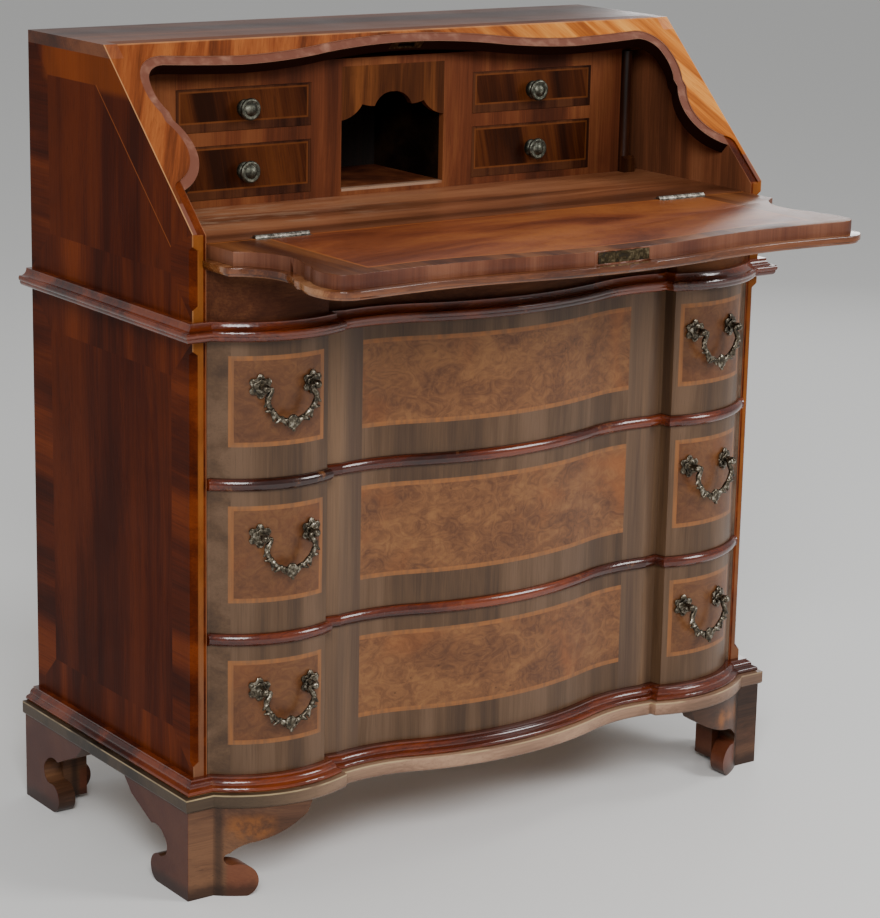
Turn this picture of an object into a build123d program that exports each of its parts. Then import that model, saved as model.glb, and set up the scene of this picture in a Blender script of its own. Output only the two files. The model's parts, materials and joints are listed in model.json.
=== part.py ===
from build123d import *
import os
from math import asin, atan2, cos, degrees, hypot, radians, sin, sqrt

# A slant-front desk with a serpentine front, in millimetres.
# X is to the right, Y to the back, Z up. While it is built, Y is 0 at the front edge of the case sides.

# Case
total_height = 1000.0
case_width = 860.0
case_depth = 400.0
top_depth = 194.0
slant_rise = 195.0
side_thickness = 18.0
top_thickness = 15.0
back_thickness = 12.0
back_board_count = 4
base_height = 113.0
corner_chamfer = 8.5
chamfer_stop = 12.0
stop_slope_share = 0.49

# Serpentine front: depths in front of the case front, and places as shares of the inner half width
bulge_depth = 50.0
notch_depth = 16.0
crease_depth = 15.0
lobe_start_depth = 32.0
lobe_depth = 39.5
bulge_end_share = 0.328
notch_share = 0.498
facet_share = 0.578
crease_share = 0.636
lobe_start_share = 0.643
lobe_peak_share = 0.752
lobe_end_share = 0.988

# Rails, drawer openings and mouldings: the drawer rails' places are shares of the height for drawers
lower_rail_share = 0.3058
upper_rail_share = 0.6623
waist_height = 22.0
frieze_height = 82.6
rail_thickness = 14.0
rail_depth = 60.0
bead_projection = 7.0
waist_projection = 19.0
base_projection = 19.0
base_moulding_height = 17.0
plinth_band_height = 18.0
plinth_projection = 24.0
plinth_rounding = 4.0
moulding_fillet = 8.0
# the mouldings' sections, as shares of their projection and height
waist_lower_shares = [(0.55, 0.0), (0.86, 0.1), (0.9, 0.27)]
waist_nose_shares = [(1.0, 0.43), (0.93, 0.59), (0.56, 0.68)]
waist_step_share = 0.94
base_nose_shares = [(0.9, 0.0), (1.0, 0.18), (0.95, 0.35), (0.68, 0.47), (0.62, 0.72)]
base_step_share = 0.88

# Feet
foot_projection = 20.0
foot_thickness = 24.0
foot_front_wing = 152.0
foot_side_wing = 156.0
glue_block_size = 34.0
# the brackets' outlines, as shares of the wing's length from the corner and of the foot's height
foot_front_arc_shares = [
    [(0.454, 0.0), (0.539, 0.16), (0.355, 0.354)],
    [(0.355, 0.354), (0.296, 0.41), (0.336, 0.487)],
    [(0.336, 0.487), (0.408, 0.566), (0.507, 0.61)],
    [(0.507, 0.61), (0.724, 0.70), (0.954, 0.867)],
]
foot_side_arc_shares = [
    [(0.481, 0.0), (0.577, 0.142), (0.449, 0.327)],
    [(0.449, 0.327), (0.321, 0.45), (0.365, 0.575)],
    [(0.365, 0.575), (0.455, 0.65), (0.564, 0.637)],
    [(0.564, 0.637), (0.718, 0.735), (0.878, 0.832)],
]

# Long drawers
drawer_gap = 1.0
drawer_front_thickness = 24.0
drawer_side_thickness = 12.0
drawer_bottom_thickness = 8.0
drawer_bottom_lift = 9.0
drawer_side_gap = 3.0
drawer_top_gap = 10.0
drawer_back_gap = 12.0
runner_width = 32.0
runner_play = 0.3
stop_size = 12.0
stop_height = 6.0
stop_width = 40.0
dust_board_thickness = 8.0

# Writing board, fall and slant frame
writing_drop = 14.0
fall_board_thickness = 17.0
lip_thickness = 10.0
lip_nose_depth = 3.5
lip_nose_step = 2.5
opening_inset = 6.0
lip_lap = 6.0
rebate_lap = 12.0
rebate_depth = 2.0
lip_play = 0.4
slant_frame_thickness = 20.0
hinge_play = 0.3
lip_start_gap = 2.0
writing_board_gap = 0.7
opening_straight = 65.0
rail_split_share = 0.846

# Fall hinges
hinge_half_spacing = 303.0
hinge_length = 75.0
hinge_leaf_width = 11.0
hinge_leaf_thickness = 2.0
hinge_knuckle_radius = 4.0
hinge_pin_radius = 1.5
pin_play = 0.05
knuckle_play = 0.4
knuckle_room = 0.6
knuckle_split_share = 0.17
screw_head_radius = 2.6
screw_play = 0.05

# Fall lock
lock_plate_length = 75.0
lock_plate_height = 13.0
lock_plate_thickness = 1.5
bolt_width = 24.0
bolt_thickness = 6.0
bolt_length = 30.0
bolt_travel = 12.0
bolt_play = 0.3
keeper_length = 50.0
keeper_thickness = 1.5

# Gallery: places across are shares of the inner half width
gallery_setback = 22.0
gallery_board = 10.0
partition_thickness = 8.0
pigeonhole_share = 0.192
stile_share = 0.303
small_drawer_share = 0.777
end_stile_share = 0.903
end_bead_share = 0.937
sill_height = 9.0
lower_small_height = 67.0
small_rail_height = 17.0
upper_small_height = 54.0
gallery_top_rail = 17.0
gallery_top_thickness = 10.0
end_bead_projection = 10.0
end_bead_foot_height = 22.0
end_bead_foot_step = 4.0
arch_spring_height = 96.0
arch_peak_height = 129.0
# hollow, cusp, dip, foot of the dome and dome, as shares of the arch's half width and rise
arch_place_shares = [(0.76, 0.2), (0.6, 0.58), (0.47, 0.5), (0.36, 0.48), (0.26, 0.8)]

# Small drawers
small_gap = 0.5
small_front_thickness = 10.0
small_side_thickness = 6.0
small_bottom_thickness = 4.0
small_back_gap = 14.0
knob_diameter = 28.0
knob_projection = 20.0
knob_stem_diameter = 11.0
knob_plate_thickness = 2.5
knob_plate_share = 0.8
knob_stem_share = 0.35
# neck, rim, inner lip, ring, dome and tip, as shares of the radius and the projection
knob_head_shares = [(0.7, 0.6), (1.0, 0.72), (0.82, 0.86), (0.6, 0.84), (0.36, 0.955), (0.12, 1.0)]

# Bail handles
handle_centre_share = 0.789
handle_spacing = 66.0
handle_below_opening = 55.0
rosette_diameter = 30.0
rosette_thickness = 4.0
post_radius = 4.5
post_reach = 17.0
eye_radius = 5.0
stem_end_share = 0.6
bail_drop = 41.0
bail_radius = 2.8
bail_pin_radius = 2.0
bail_pin_play = 0.1
bail_eye_gap = 0.4
bail_neck_turn = 55.0
bail_bend_radius = 8.0
bail_ornament_length = 26.0
bail_ornament_radius = 5.6

handle_bolt_radius = 2.0
handle_nut_radius = 6.0
handle_nut_thickness = 3.0
nut_start_share = 0.9

# One overrun for every cut
overrun = 5.0

# Values that follow from the sizes above
half_width = case_width / 2
half_inner = half_width - side_thickness
back_face = case_depth - back_thickness
slant_run = case_depth - top_depth
gallery_front = slant_run + gallery_setback

# Levels, from the top down and from the floor up
slant_foot_height = total_height - slant_rise
writing_level = slant_foot_height - writing_drop
frieze_top = writing_level - fall_board_thickness - lip_thickness - lip_play
waist_bottom = frieze_top - frieze_height
waist_top = waist_bottom + waist_height
base_moulding_top = base_height + plinth_band_height + base_moulding_height
drawer_stack = waist_bottom - base_moulding_top
lower_rail_bottom = base_moulding_top + lower_rail_share * drawer_stack
upper_rail_bottom = base_moulding_top + upper_rail_share * drawer_stack
sill = writing_level + sill_height
lower_small_top = sill + lower_small_height
upper_small_bottom = lower_small_top + small_rail_height
upper_small_top = upper_small_bottom + upper_small_height
gallery_under = upper_small_top + gallery_top_rail

# Slope of the slant face
slant_length = hypot(slant_run, slant_rise)
slant_sin = slant_rise / slant_length
slant_cos = slant_run / slant_length
fall_sink = fall_board_thickness + rebate_depth - lip_play
top_under = total_height - top_thickness

# The hinge axis lies in the writing level, fall_sink behind the slant face
hinge_z = writing_level
hinge_y = (fall_sink - (slant_foot_height - hinge_z) * slant_cos) / slant_sin
hinge_s = hinge_y * slant_cos + (hinge_z - slant_foot_height) * slant_sin
closing_turn = 180.0 - degrees(atan2(slant_rise, slant_run))

# The opening's outline, right half: across as shares of the inner half width, up as shares of the slope
opening_corner_shares = (1.0, opening_straight / slant_length)
opening_side_shares = [(0.934, 0.307), (0.904, 0.441), (0.912, 0.518), (0.933, 0.589)]
opening_step_shares = [(0.933, 0.631), (0.949, 0.701), (0.949, 0.793)]
opening_shoulder_shares = [(0.928, 0.857), (0.879, 0.885)]
opening_top_shares = [(0.757, 0.8725), (0.619, 0.8635), (0.485, 0.8725), (0.364, 0.892), (0.194, 0.927)]
opening_peak_share = 0.941

slant_plane = Plane(
    origin=(0, 0, slant_foot_height), x_dir=(1, 0, 0), z_dir=(0, -slant_sin, slant_cos)
)


# Shared helpers

def block(low, high):
    # a box between its two corners
    size = [b - a for a, b in zip(low, high)]
    return Pos(*low) * Box(*size, align=(Align.MIN, Align.MIN, Align.MIN))


def both_sides(solid):
    # a solid and its mirror image on the other side
    return [solid, mirror(solid, about=Plane.YZ)]


def mirrored_face(edges):
    # the face between a run of edges right of the centre plane and their mirror images
    left = [mirror(edge, about=Plane.YZ) for edge in edges]
    return make_face((Curve() + edges + left).edges())


def lobe_arc():
    start = (lobe_start_share * half_inner, -lobe_start_depth)
    peak = (lobe_peak_share * half_inner, -lobe_depth)
    end = (lobe_end_share * half_inner, 0)
    return ThreePointArc(start, peak, end)


def lobe_y(x):
    # the lobe's face at a place across the front
    arc = lobe_arc()
    centre = arc.arc_center
    return centre.Y - sqrt(arc.radius**2 - (x - centre.X) ** 2)


def serpentine_half(end_x):
    # the front line from the centre bulge's end to end_x, on the right
    bulge_end = bulge_end_share * half_inner
    notch = notch_share * half_inner
    bend_y = -bulge_depth + (bulge_depth - notch_depth) * bulge_end / notch
    run = notch - bulge_end
    rise = -notch_depth - bend_y
    hollow = (run**2 + rise**2) / (2 * rise)
    facet = facet_share * half_inner
    facet_y = -notch_depth - hollow + sqrt(hollow**2 - (facet - notch) ** 2)
    crease = (crease_share * half_inner, -crease_depth)
    lobe_start = (lobe_start_share * half_inner, -lobe_start_depth)
    return [
        ThreePointArc((bulge_end, bend_y), (notch, -notch_depth), (facet, facet_y)),
        Line((facet, facet_y), crease),
        Line(crease, lobe_start),
        lobe_arc(),
        Line((lobe_end_share * half_inner, 0), (end_x, 0)),
    ]


def centre_bulge():
    bulge_end = bulge_end_share * half_inner
    bend_y = -bulge_depth + (bulge_depth - notch_depth) * bulge_end_share / notch_share
    return ThreePointArc((-bulge_end, bend_y), (0, -bulge_depth), (bulge_end, bend_y))


def plan_face(out=0.0):
    # the case's plan with its serpentine front, grown by out
    right = serpentine_half(half_width) + [Line((half_width, 0), (half_width, case_depth))]
    left = [mirror(edge, about=Plane.YZ) for edge in right]
    back = Line((half_width, case_depth), (-half_width, case_depth))
    face = make_face((Curve() + [centre_bulge()] + right + left + [back]).edges())
    return offset(face, out, kind=Kind.TANGENT) if out else face


def plan_block(out, low, high):
    return Pos(0, 0, low) * extrude(plan_face(out), high - low)


def front_path(end_x):
    # the serpentine as a path from left to right
    right = serpentine_half(end_x)
    left = [mirror(edge, about=Plane.YZ) for edge in right]
    return Wire((Curve() + [centre_bulge()] + right + left).edges())


def case_path():
    # the front and both sides as one path, from the back left corner round to the back right
    right = serpentine_half(half_width) + [Line((half_width, 0), (half_width, case_depth))]
    left = [mirror(edge, about=Plane.YZ) for edge in right]
    return Wire((Curve() + [centre_bulge()] + right + left).edges())


def run_moulding(profile, path):
    # a profile drawn as (projection, height) run along a path that starts on the left
    start = path @ 0
    heading = path % 0
    out = Vector(heading.Y, -heading.X, 0) * (1 if start.X < 0 else -1)
    seat = Plane(origin=start, x_dir=out, z_dir=out.cross(Vector(0, 0, 1)))
    return sweep(seat * make_face(profile.edges()), path=path, transition=Transition.RIGHT)


def mitre_zone(side, low, high):
    # the room in which a moulding's front (side 0) or its left return (side -1) lies
    reach = plinth_projection * 2
    far = bulge_depth + reach
    if side == 0:
        left = [(-half_width, 0), (-half_width - reach, -reach), (-half_width - reach, -far)]
        corners = left + [(-x, y) for x, y in reversed(left)]
    else:
        corners = [(-half_width, 0), (-half_width - reach, -reach)]
        corners += [(-half_width - reach, case_depth), (-half_width, case_depth)]
    return Pos(0, 0, low) * extrude(make_face(Polyline(*corners, close=True).edges()), high - low)


def moulding_pieces(profile, low, high):
    # the mitred front and the two returns of a moulding that runs round the case
    whole = run_moulding(profile, case_path())
    front = whole & mitre_zone(0, low - overrun, high + overrun)
    left = whole & mitre_zone(-1, low - overrun, high + overrun)
    return [front] + both_sides(left)


# Case

def side_outline():
    corners = [(0, base_height), (case_depth, base_height), (case_depth, top_under)]
    corners += [(slant_run * (top_under - slant_foot_height) / slant_rise, top_under)]
    corners += [(0, slant_foot_height)]
    return make_face(Polyline(*corners, close=True).edges())


def chamfer_cutter(low, high):
    # a square bar on its edge along the front corner, with sloped stops at both ends
    size = corner_chamfer * sqrt(2)
    bar = Box(size, size, high - low)
    rims = bar.edges().group_by(Axis.Z)
    bar = chamfer(rims[0] + rims[-1], size * stop_slope_share)
    return Pos(half_width, 0, (low + high) / 2) * Rot(0, 0, 45) * bar


def case_side():
    # the right side: slanted at the top, chamfered at the front corner, rebated for the lip
    board = Pos(half_inner, 0, 0) * extrude(Plane.YZ * side_outline(), side_thickness)
    board -= chamfer_cutter(base_moulding_top + chamfer_stop, waist_bottom - chamfer_stop)
    board -= chamfer_cutter(waist_top + chamfer_stop, writing_level)
    return board - rebate_cutter()


def top_board():
    corners = [(slant_run * (top_under - slant_foot_height) / slant_rise, top_under)]
    corners += [(slant_run, total_height), (case_depth, total_height), (case_depth, top_under)]
    outline = make_face(Polyline(*corners, close=True).edges())
    board = Pos(-half_width, 0, 0) * extrude(Plane.YZ * outline, case_width)
    return board - slant_slab(half_inner)


def back_boards():
    width = 2 * half_inner / back_board_count
    boards = []
    for number in range(back_board_count):
        left = -half_inner + number * width
        boards.append(block((left, back_face, base_height), (left + width, case_depth, top_under)))
    return boards


def bottom_board():
    low = base_moulding_top - side_thickness
    return block((-half_inner, rail_depth, low), (half_inner, back_face, base_moulding_top))


def rail(low, high):
    # a rail with the serpentine front and a straight back, between the sides
    room = block((-half_inner, -2 * bulge_depth, low), (half_inner, rail_depth, high))
    return plan_block(0, low, high) & room


def bead(low):
    # the rounded nose planted on a drawer rail
    high = low + rail_thickness
    flat = bead_projection - rail_thickness / 4
    profile = Polyline((flat, high), (0, high), (0, low), (flat, low))
    nose = ThreePointArc((flat, low), (bead_projection, (low + high) / 2), (flat, high))
    return run_moulding(profile + nose, front_path(half_inner))


def drawer_runners():
    # runners under the two upper drawers, kickers over the top drawer, and stops on the rails
    pieces = []
    for low in (lower_rail_bottom, upper_rail_bottom, waist_bottom + runner_play):
        near = (half_inner - runner_width, rail_depth, low)
        far = (half_inner, back_face, low + rail_thickness)
        pieces += both_sides(block(near, far))
    notch_x = notch_share * half_inner
    face = -notch_depth + drawer_front_thickness + drawer_gap
    for low in (base_moulding_top, lower_rail_bottom + rail_thickness, upper_rail_bottom + rail_thickness):
        near = (notch_x - stop_width / 2, face, low)
        far = (notch_x + stop_width / 2, face + stop_size, low + stop_height)
        pieces += both_sides(block(near, far))
    return pieces


def dust_boards():
    pieces = []
    reach = half_inner - runner_width
    for low in (lower_rail_bottom, upper_rail_bottom):
        under = low + (rail_thickness - dust_board_thickness) / 2
        pieces.append(block((-reach, rail_depth, under), (reach, back_face, under + dust_board_thickness)))
    return pieces


# Mouldings, drawn as (projection, height)

def profile_places(shares, reach, low, height):
    # places of a moulding's section, from shares of its reach and height
    return [(reach * out, low + height * up) for out, up in shares]


def waist_profile():
    high = waist_bottom + waist_height
    section = (waist_projection, waist_bottom, waist_height)
    start, swell, under = profile_places(waist_lower_shares, *section)
    nose, lip, hollow = profile_places(waist_nose_shares, *section)
    step = (moulding_fillet, waist_bottom + waist_height * waist_step_share)
    shape = Polyline((moulding_fillet, high), (0, high), (0, waist_bottom), start)
    shape += ThreePointArc(start, swell, under)
    shape += ThreePointArc(under, nose, lip)
    shape += ThreePointArc(lip, hollow, step)
    return shape + Line(step, (moulding_fillet, high))


def base_profile():
    high = base_moulding_top
    low = high - base_moulding_height
    section = (base_projection, low, base_moulding_height)
    start, nose, nose_top, valley, hollow = profile_places(base_nose_shares, *section)
    step = (moulding_fillet, low + base_moulding_height * base_step_share)
    shape = Polyline((moulding_fillet, high), (0, high), (0, low), start)
    shape += ThreePointArc(start, nose, nose_top)
    shape += Line(nose_top, valley)
    shape += ThreePointArc(valley, hollow, step)
    return shape + Line(step, (moulding_fillet, high))


def plinth_profile():
    high = base_moulding_top - base_moulding_height
    low = base_height
    turn = plinth_rounding * (1 - sqrt(0.5))
    shape = Polyline((plinth_projection, low + plinth_rounding), (plinth_projection, high), (0, high))
    shape += Polyline((0, high), (0, low), (plinth_projection - plinth_rounding, low))
    return shape + ThreePointArc(
        (plinth_projection - plinth_rounding, low), (plinth_projection - turn, low + turn),
        (plinth_projection, low + plinth_rounding)
    )


# Feet

def foot_outline(arc_shares, wing):
    # a bracket seen from its face, with the corner at 0
    shape = Line((0, 0), (arc_shares[0][0][0] * wing, 0))
    for start, middle, end in arc_shares:
        places = [(across * wing, up * base_height) for across, up in (start, middle, end)]
        shape += ThreePointArc(*places)
    last = (arc_shares[-1][-1][0] * wing, arc_shares[-1][-1][1] * base_height)
    shape += Polyline(last, (wing, base_height), (0, base_height), (0, 0))
    return make_face(shape.edges())


def mitre_prism(corner_y, reach):
    # what lies behind the mitre line of a right front corner
    corner = (half_width + foot_projection, corner_y)
    points = [corner, (corner[0] - reach, corner_y + reach), (corner[0], corner_y + reach)]
    return extrude(make_face(Polyline(*points, close=True).edges()), base_height)


def front_foot():
    # right front foot: a front bracket that follows the lobe, a side bracket and a glue block
    corner_x = half_width + foot_projection
    corner_y = -foot_projection
    inner = foot_projection - foot_thickness
    ring = plan_block(foot_projection, 0, base_height) - plan_block(inner, 0, base_height)
    outline = Plane(origin=(corner_x, 0, 0), x_dir=(-1, 0, 0), z_dir=(0, 1, 0))
    front_face = outline * foot_outline(foot_front_arc_shares, foot_front_wing)
    zone = Pos(0, -2 * bulge_depth, 0) * extrude(front_face, 2 * bulge_depth + foot_thickness)
    front = (ring & zone) - mitre_prism(corner_y, 2 * foot_thickness)
    sideways = Plane(origin=(corner_x, corner_y, 0), x_dir=(0, 1, 0), z_dir=(1, 0, 0))
    side = extrude(sideways * foot_outline(foot_side_arc_shares, foot_side_wing), -foot_thickness)
    keep = mitre_prism(corner_y, 2 * foot_side_wing)
    side = side & keep
    inside_x = corner_x - foot_thickness
    inside_y = corner_y + foot_thickness
    near = (inside_x - glue_block_size, inside_y, glue_block_size / 4)
    glue = block(near, (inside_x, inside_y + glue_block_size, base_height))
    return [front, side, glue]


def rear_foot():
    # right rear foot: a side bracket to the back corner, a back bracket and a glue block
    corner_x = half_width + foot_projection
    sideways = Plane(origin=(corner_x, case_depth, 0), x_dir=(0, -1, 0), z_dir=(-1, 0, 0))
    side = extrude(sideways * foot_outline(foot_side_arc_shares, foot_side_wing), foot_thickness)
    inside_x = corner_x - foot_thickness
    across = Plane(origin=(corner_x, case_depth, 0), x_dir=(-1, 0, 0), z_dir=(0, 1, 0))
    back = extrude(across * foot_outline(foot_front_arc_shares, foot_front_wing), -foot_thickness)
    back -= block((inside_x, 0, 0), (corner_x, case_depth, base_height))
    inside_y = case_depth - foot_thickness
    near = (inside_x - glue_block_size, inside_y - glue_block_size, glue_block_size / 4)
    glue = block(near, (inside_x, inside_y, base_height))
    return [side, back, glue]


# Slant frame, fall and lock

def opening_edges():
    # the opening's outline right of the centre, in slope coordinates, from below the slant's foot
    def place(shares):
        return (shares[0] * half_inner, shares[1] * slant_length)

    corner = place(opening_corner_shares)
    side = [place(shares) for shares in opening_side_shares]
    step = [place(shares) for shares in opening_step_shares]
    shoulder = [place(shares) for shares in opening_shoulder_shares]
    top = [place(shares) for shares in opening_top_shares]
    peak = (0, opening_peak_share * slant_length)
    return [
        Line((half_inner, -opening_straight), corner),
        ThreePointArc(corner, side[0], side[1]),
        ThreePointArc(side[1], side[2], side[3]),
        Line(side[3], step[0]),
        ThreePointArc(step[0], step[1], step[2]),
        ThreePointArc(step[2], shoulder[0], shoulder[1]),
        ThreePointArc(shoulder[1], top[0], top[1]),
        ThreePointArc(top[1], top[2], top[3]),
        ThreePointArc(top[3], top[4], peak),
        Line((half_inner, -opening_straight), (0, -opening_straight)),
    ]


def opening_face(out=0.0):
    face = mirrored_face(opening_edges())
    return offset(face, out, kind=Kind.ARC) if out else face


def slope_zone(reach, low, high, depth):
    # a slab under the slant face between two places on the slope
    middle = Pos(0, (low + high) / 2, -depth / 2) * Box(2 * reach, high - low, depth)
    return slant_plane * middle


def slant_slab(reach):
    return slope_zone(reach, -opening_straight, 2 * slant_length, slant_frame_thickness)


def rebate_cutter():
    # the shallow rebate round the opening that takes the fall's lip
    ring = extrude(opening_face(rebate_lap), 2 * rebate_depth)
    return slant_plane * (Pos(0, 0, -rebate_depth) * ring)


def slant_frame():
    # the veneered frame round the opening, before it is parted into stiles and rail
    slab = slope_zone(half_inner, opening_straight, slant_length * 1.5, slant_frame_thickness)
    slab &= block((-half_width, 0, 0), (half_width, case_depth, total_height))
    hole = Pos(0, 0, -2 * slant_frame_thickness) * extrude(opening_face(), 4 * slant_frame_thickness)
    return slab - slant_plane * hole - rebate_cutter()


def slant_pieces():
    frame = slant_frame()
    split = rail_split_share * slant_length
    over = slope_zone(half_width, split, 2 * slant_length, 2 * slant_frame_thickness)
    rail_piece = (frame & over) - bolt_mortise()
    stiles = (frame - over).solids().sort_by(Axis.X)
    return stiles[0], stiles[-1], rail_piece


def fall_edge_s():
    return opening_peak_share * slant_length - opening_inset


def bolt_depth():
    # how far the bolt's middle lies under the fall's inner face
    return fall_board_thickness / 2


def bolt_mortise():
    # the hole in the rail's lower edge for the thrown bolt, and the seat of its keeper
    opening_s = opening_peak_share * slant_length
    reach = bolt_travel - opening_inset + 2 * bolt_play
    depth = fall_sink - bolt_depth()
    wide = bolt_width + 4 * bolt_play
    thick = bolt_thickness + 4 * bolt_play
    hole = Pos(0, opening_s + reach / 2 - overrun / 2, -depth) * Box(wide, reach + overrun, thick)
    seat = Pos(0, opening_s, -depth) * Box(keeper_length, 2 * keeper_thickness, lock_plate_height)
    return slant_plane * (hole + seat)


def lock_keeper():
    opening_s = opening_peak_share * slant_length
    depth = fall_sink - bolt_depth()
    middle = Pos(0, opening_s + keeper_thickness / 2, -depth)
    plate = Box(keeper_length, keeper_thickness, lock_plate_height)
    plate -= Box(bolt_width + 4 * bolt_play, overrun, bolt_thickness + 4 * bolt_play)
    return slant_plane * (middle * plate)


def open_plane(level):
    # slope coordinates laid flat for the open fall, with depth downwards
    return Plane(origin=(0, hinge_y + hinge_s, level), x_dir=(1, 0, 0), z_dir=(0, 0, -1))


def slope_band(low, high):
    # a flat zone between two places on the slope, for trimming outlines
    middle = Pos(0, (low + high) / 2)
    return middle * Rectangle(case_width * 2, high - low).face()


def fall_outline():
    # the board's outline: the opening's, drawn in, from just in front of the hinge axis
    return opening_face(-opening_inset) & slope_band(hinge_s + hinge_play, 2 * slant_length)


def lip_outline(lap):
    # the lip's outline: over the frame in front of the case sides, and as the board behind that
    lip_start = hinge_y + hinge_s + lip_start_gap
    front = opening_face(lap) & slope_band(lip_start, 2 * slant_length)
    back = fall_outline() & slope_band(-slant_length, lip_start + overrun)
    return front + back


def fall_board():
    board = extrude(fall_outline().face(), fall_board_thickness)
    board = open_plane(writing_level) * board
    for side in (-1, 1):
        board -= hinge_room(side * hinge_half_spacing)
    edge = fall_edge_s()
    pocket = lock_case_block(edge)
    seat_depth = Pos(0, edge + overrun - lock_plate_thickness, bolt_depth())
    seat = seat_depth * Box(lock_plate_length, 2 * overrun, lock_plate_height)
    return board - open_plane(writing_level) * (pocket + seat)


def fall_lip():
    # the lip with its thumbnail edge: a full layer, and an outer layer drawn in
    full = lip_thickness - lip_nose_depth
    lip = extrude(lip_outline(lip_lap).face(), full)
    lip += Pos(0, 0, full) * extrude(lip_outline(lip_lap - lip_nose_step).face(), lip_nose_depth)
    return open_plane(writing_level - fall_board_thickness) * lip


def lock_case_block(edge):
    # the lock's case as a plain block in slope coordinates, under the inner face
    depth = fall_board_thickness - 2 * lock_plate_thickness
    length = bolt_length + 2 * lock_plate_thickness
    middle = Pos(0, edge - lock_plate_thickness - length / 2, bolt_depth())
    return middle * Box(bolt_width * 2, length, depth)


def fall_lock():
    # the edge plate and the case behind it, hollow for the bolt
    edge = fall_edge_s()
    room = bolt_length + 2 * bolt_play
    plate = Pos(0, edge - lock_plate_thickness / 2, bolt_depth()) * Box(
        lock_plate_length, lock_plate_thickness, lock_plate_height
    )
    hollow = Pos(0, edge - room / 2 + overrun / 2, bolt_depth()) * Box(
        bolt_width + 2 * bolt_play, room + overrun, bolt_thickness + 2 * bolt_play
    )
    return open_plane(writing_level) * (plate + lock_case_block(edge) - hollow)


def lock_bolt():
    middle = Pos(0, fall_edge_s() - bolt_length / 2, bolt_depth())
    bolt = Box(bolt_width, bolt_length, bolt_thickness)
    return open_plane(writing_level) * (middle * bolt)


# Hinges

def hinge_room(x):
    # the notch for the knuckles and the shallow seats of both leaves
    reach = hinge_knuckle_radius + knuckle_room
    half = hinge_length / 2
    room = block((x - half - knuckle_play, hinge_y - reach, hinge_z - reach),
                 (x + half + knuckle_play, hinge_y + reach, hinge_z + overrun))
    seat = block((x - half, hinge_y - hinge_leaf_width, hinge_z - hinge_leaf_thickness),
                 (x + half, hinge_y + hinge_leaf_width, hinge_z + overrun))
    return room + seat


def barrel(x_low, x_high):
    # a knuckle with its bore
    length = x_high - x_low
    tube = Cylinder(hinge_knuckle_radius, length) - Cylinder(hinge_pin_radius + pin_play, length)
    return Pos((x_low + x_high) / 2, hinge_y, hinge_z) * Rot(0, 90, 0) * tube


def hinge_leaf(x, side, spans):
    # a leaf on one side of the axis (-1 fall, 1 case) with knuckles over some spans of its length
    start = hinge_knuckle_radius + knuckle_room
    half = hinge_length / 2
    ys = sorted((hinge_y + side * start, hinge_y + side * hinge_leaf_width))
    low_z = hinge_z - hinge_leaf_thickness
    leaf = block((x - half, ys[0], low_z), (x + half, ys[1], hinge_z))
    for low, high in spans:
        tongue_ys = sorted((hinge_y + side * start, hinge_y + side * hinge_knuckle_radius / 2))
        near = (x + low * hinge_length, tongue_ys[0], low_z)
        leaf += block(near, (x + high * hinge_length, tongue_ys[1], hinge_z))
        leaf += barrel(x + low * hinge_length, x + high * hinge_length)
        bore = Cylinder(hinge_pin_radius + pin_play, hinge_length)
        leaf -= Pos(x, hinge_y, hinge_z) * Rot(0, 90, 0) * bore
    pieces = []
    for number in (-1, 0, 1):
        place = Pos(x + number * hinge_length / 3, sum(ys) / 2, low_z + hinge_leaf_thickness / 2)
        leaf -= place * Cylinder(screw_head_radius + screw_play, hinge_leaf_thickness)
        pieces.append(place * Cylinder(screw_head_radius, hinge_leaf_thickness))
    return [leaf] + pieces




def fall_hinge_leaves():
    gap = knuckle_play / hinge_length
    pieces = []
    for side in (-1, 1):
        spans = [(-knuckle_split_share + gap, knuckle_split_share - gap)]
        pieces += hinge_leaf(side * hinge_half_spacing, -1, spans)
    return pieces


def case_hinge_leaves():
    # the leaves on the writing board, with their pins
    spans = [(-0.5, -knuckle_split_share), (knuckle_split_share, 0.5)]
    pieces = []
    for side in (-1, 1):
        pieces += hinge_leaf(side * hinge_half_spacing, 1, spans)
        pin = Cylinder(hinge_pin_radius, hinge_length)
        pieces.append(Pos(side * hinge_half_spacing, hinge_y, hinge_z) * Rot(0, 90, 0) * pin)
    return pieces


def writing_board():
    near = (-half_inner, hinge_y + writing_board_gap, frieze_top)
    board = block(near, (half_inner, back_face, writing_level))
    for side in (-1, 1):
        board -= hinge_room(side * hinge_half_spacing)
    return board


# Gallery



def gallery_top():
    near = (-half_inner, gallery_front, gallery_under)
    return block(near, (half_inner, back_face, gallery_under + gallery_top_thickness))


def gallery_stiles():
    # the veneered uprights beside the pigeonhole and at the ends
    pieces = []
    spans = ((pigeonhole_share, stile_share), (small_drawer_share, end_stile_share))
    for low, high in spans:
        near = (low * half_inner, gallery_front, writing_level)
        far = (high * half_inner, gallery_front + gallery_board, gallery_under)
        pieces += both_sides(block(near, far))
    return pieces


def gallery_rails():
    # the rails under, between and over the small drawers, and the pigeonhole's sill
    pieces = []
    levels = ((writing_level, sill), (lower_small_top, upper_small_bottom))
    for low, high in levels + ((upper_small_top, gallery_under),):
        near = (stile_share * half_inner, gallery_front, low)
        far = (small_drawer_share * half_inner, gallery_front + gallery_board, high)
        pieces += both_sides(block(near, far))
    reach = pigeonhole_share * half_inner
    pieces.append(block((-reach, gallery_front, writing_level), (reach, back_face, sill)))
    return pieces


def gallery_shelves():
    # the boards that carry the small drawers, behind the rails
    pieces = []
    for level in (sill, upper_small_bottom):
        low = stile_share * half_inner - partition_thickness
        high = small_drawer_share * half_inner + partition_thickness
        near = (low + partition_thickness, gallery_front + gallery_board, level - partition_thickness)
        far = (high - partition_thickness, back_face, level)
        pieces += both_sides(block(near, far))
    return pieces


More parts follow.
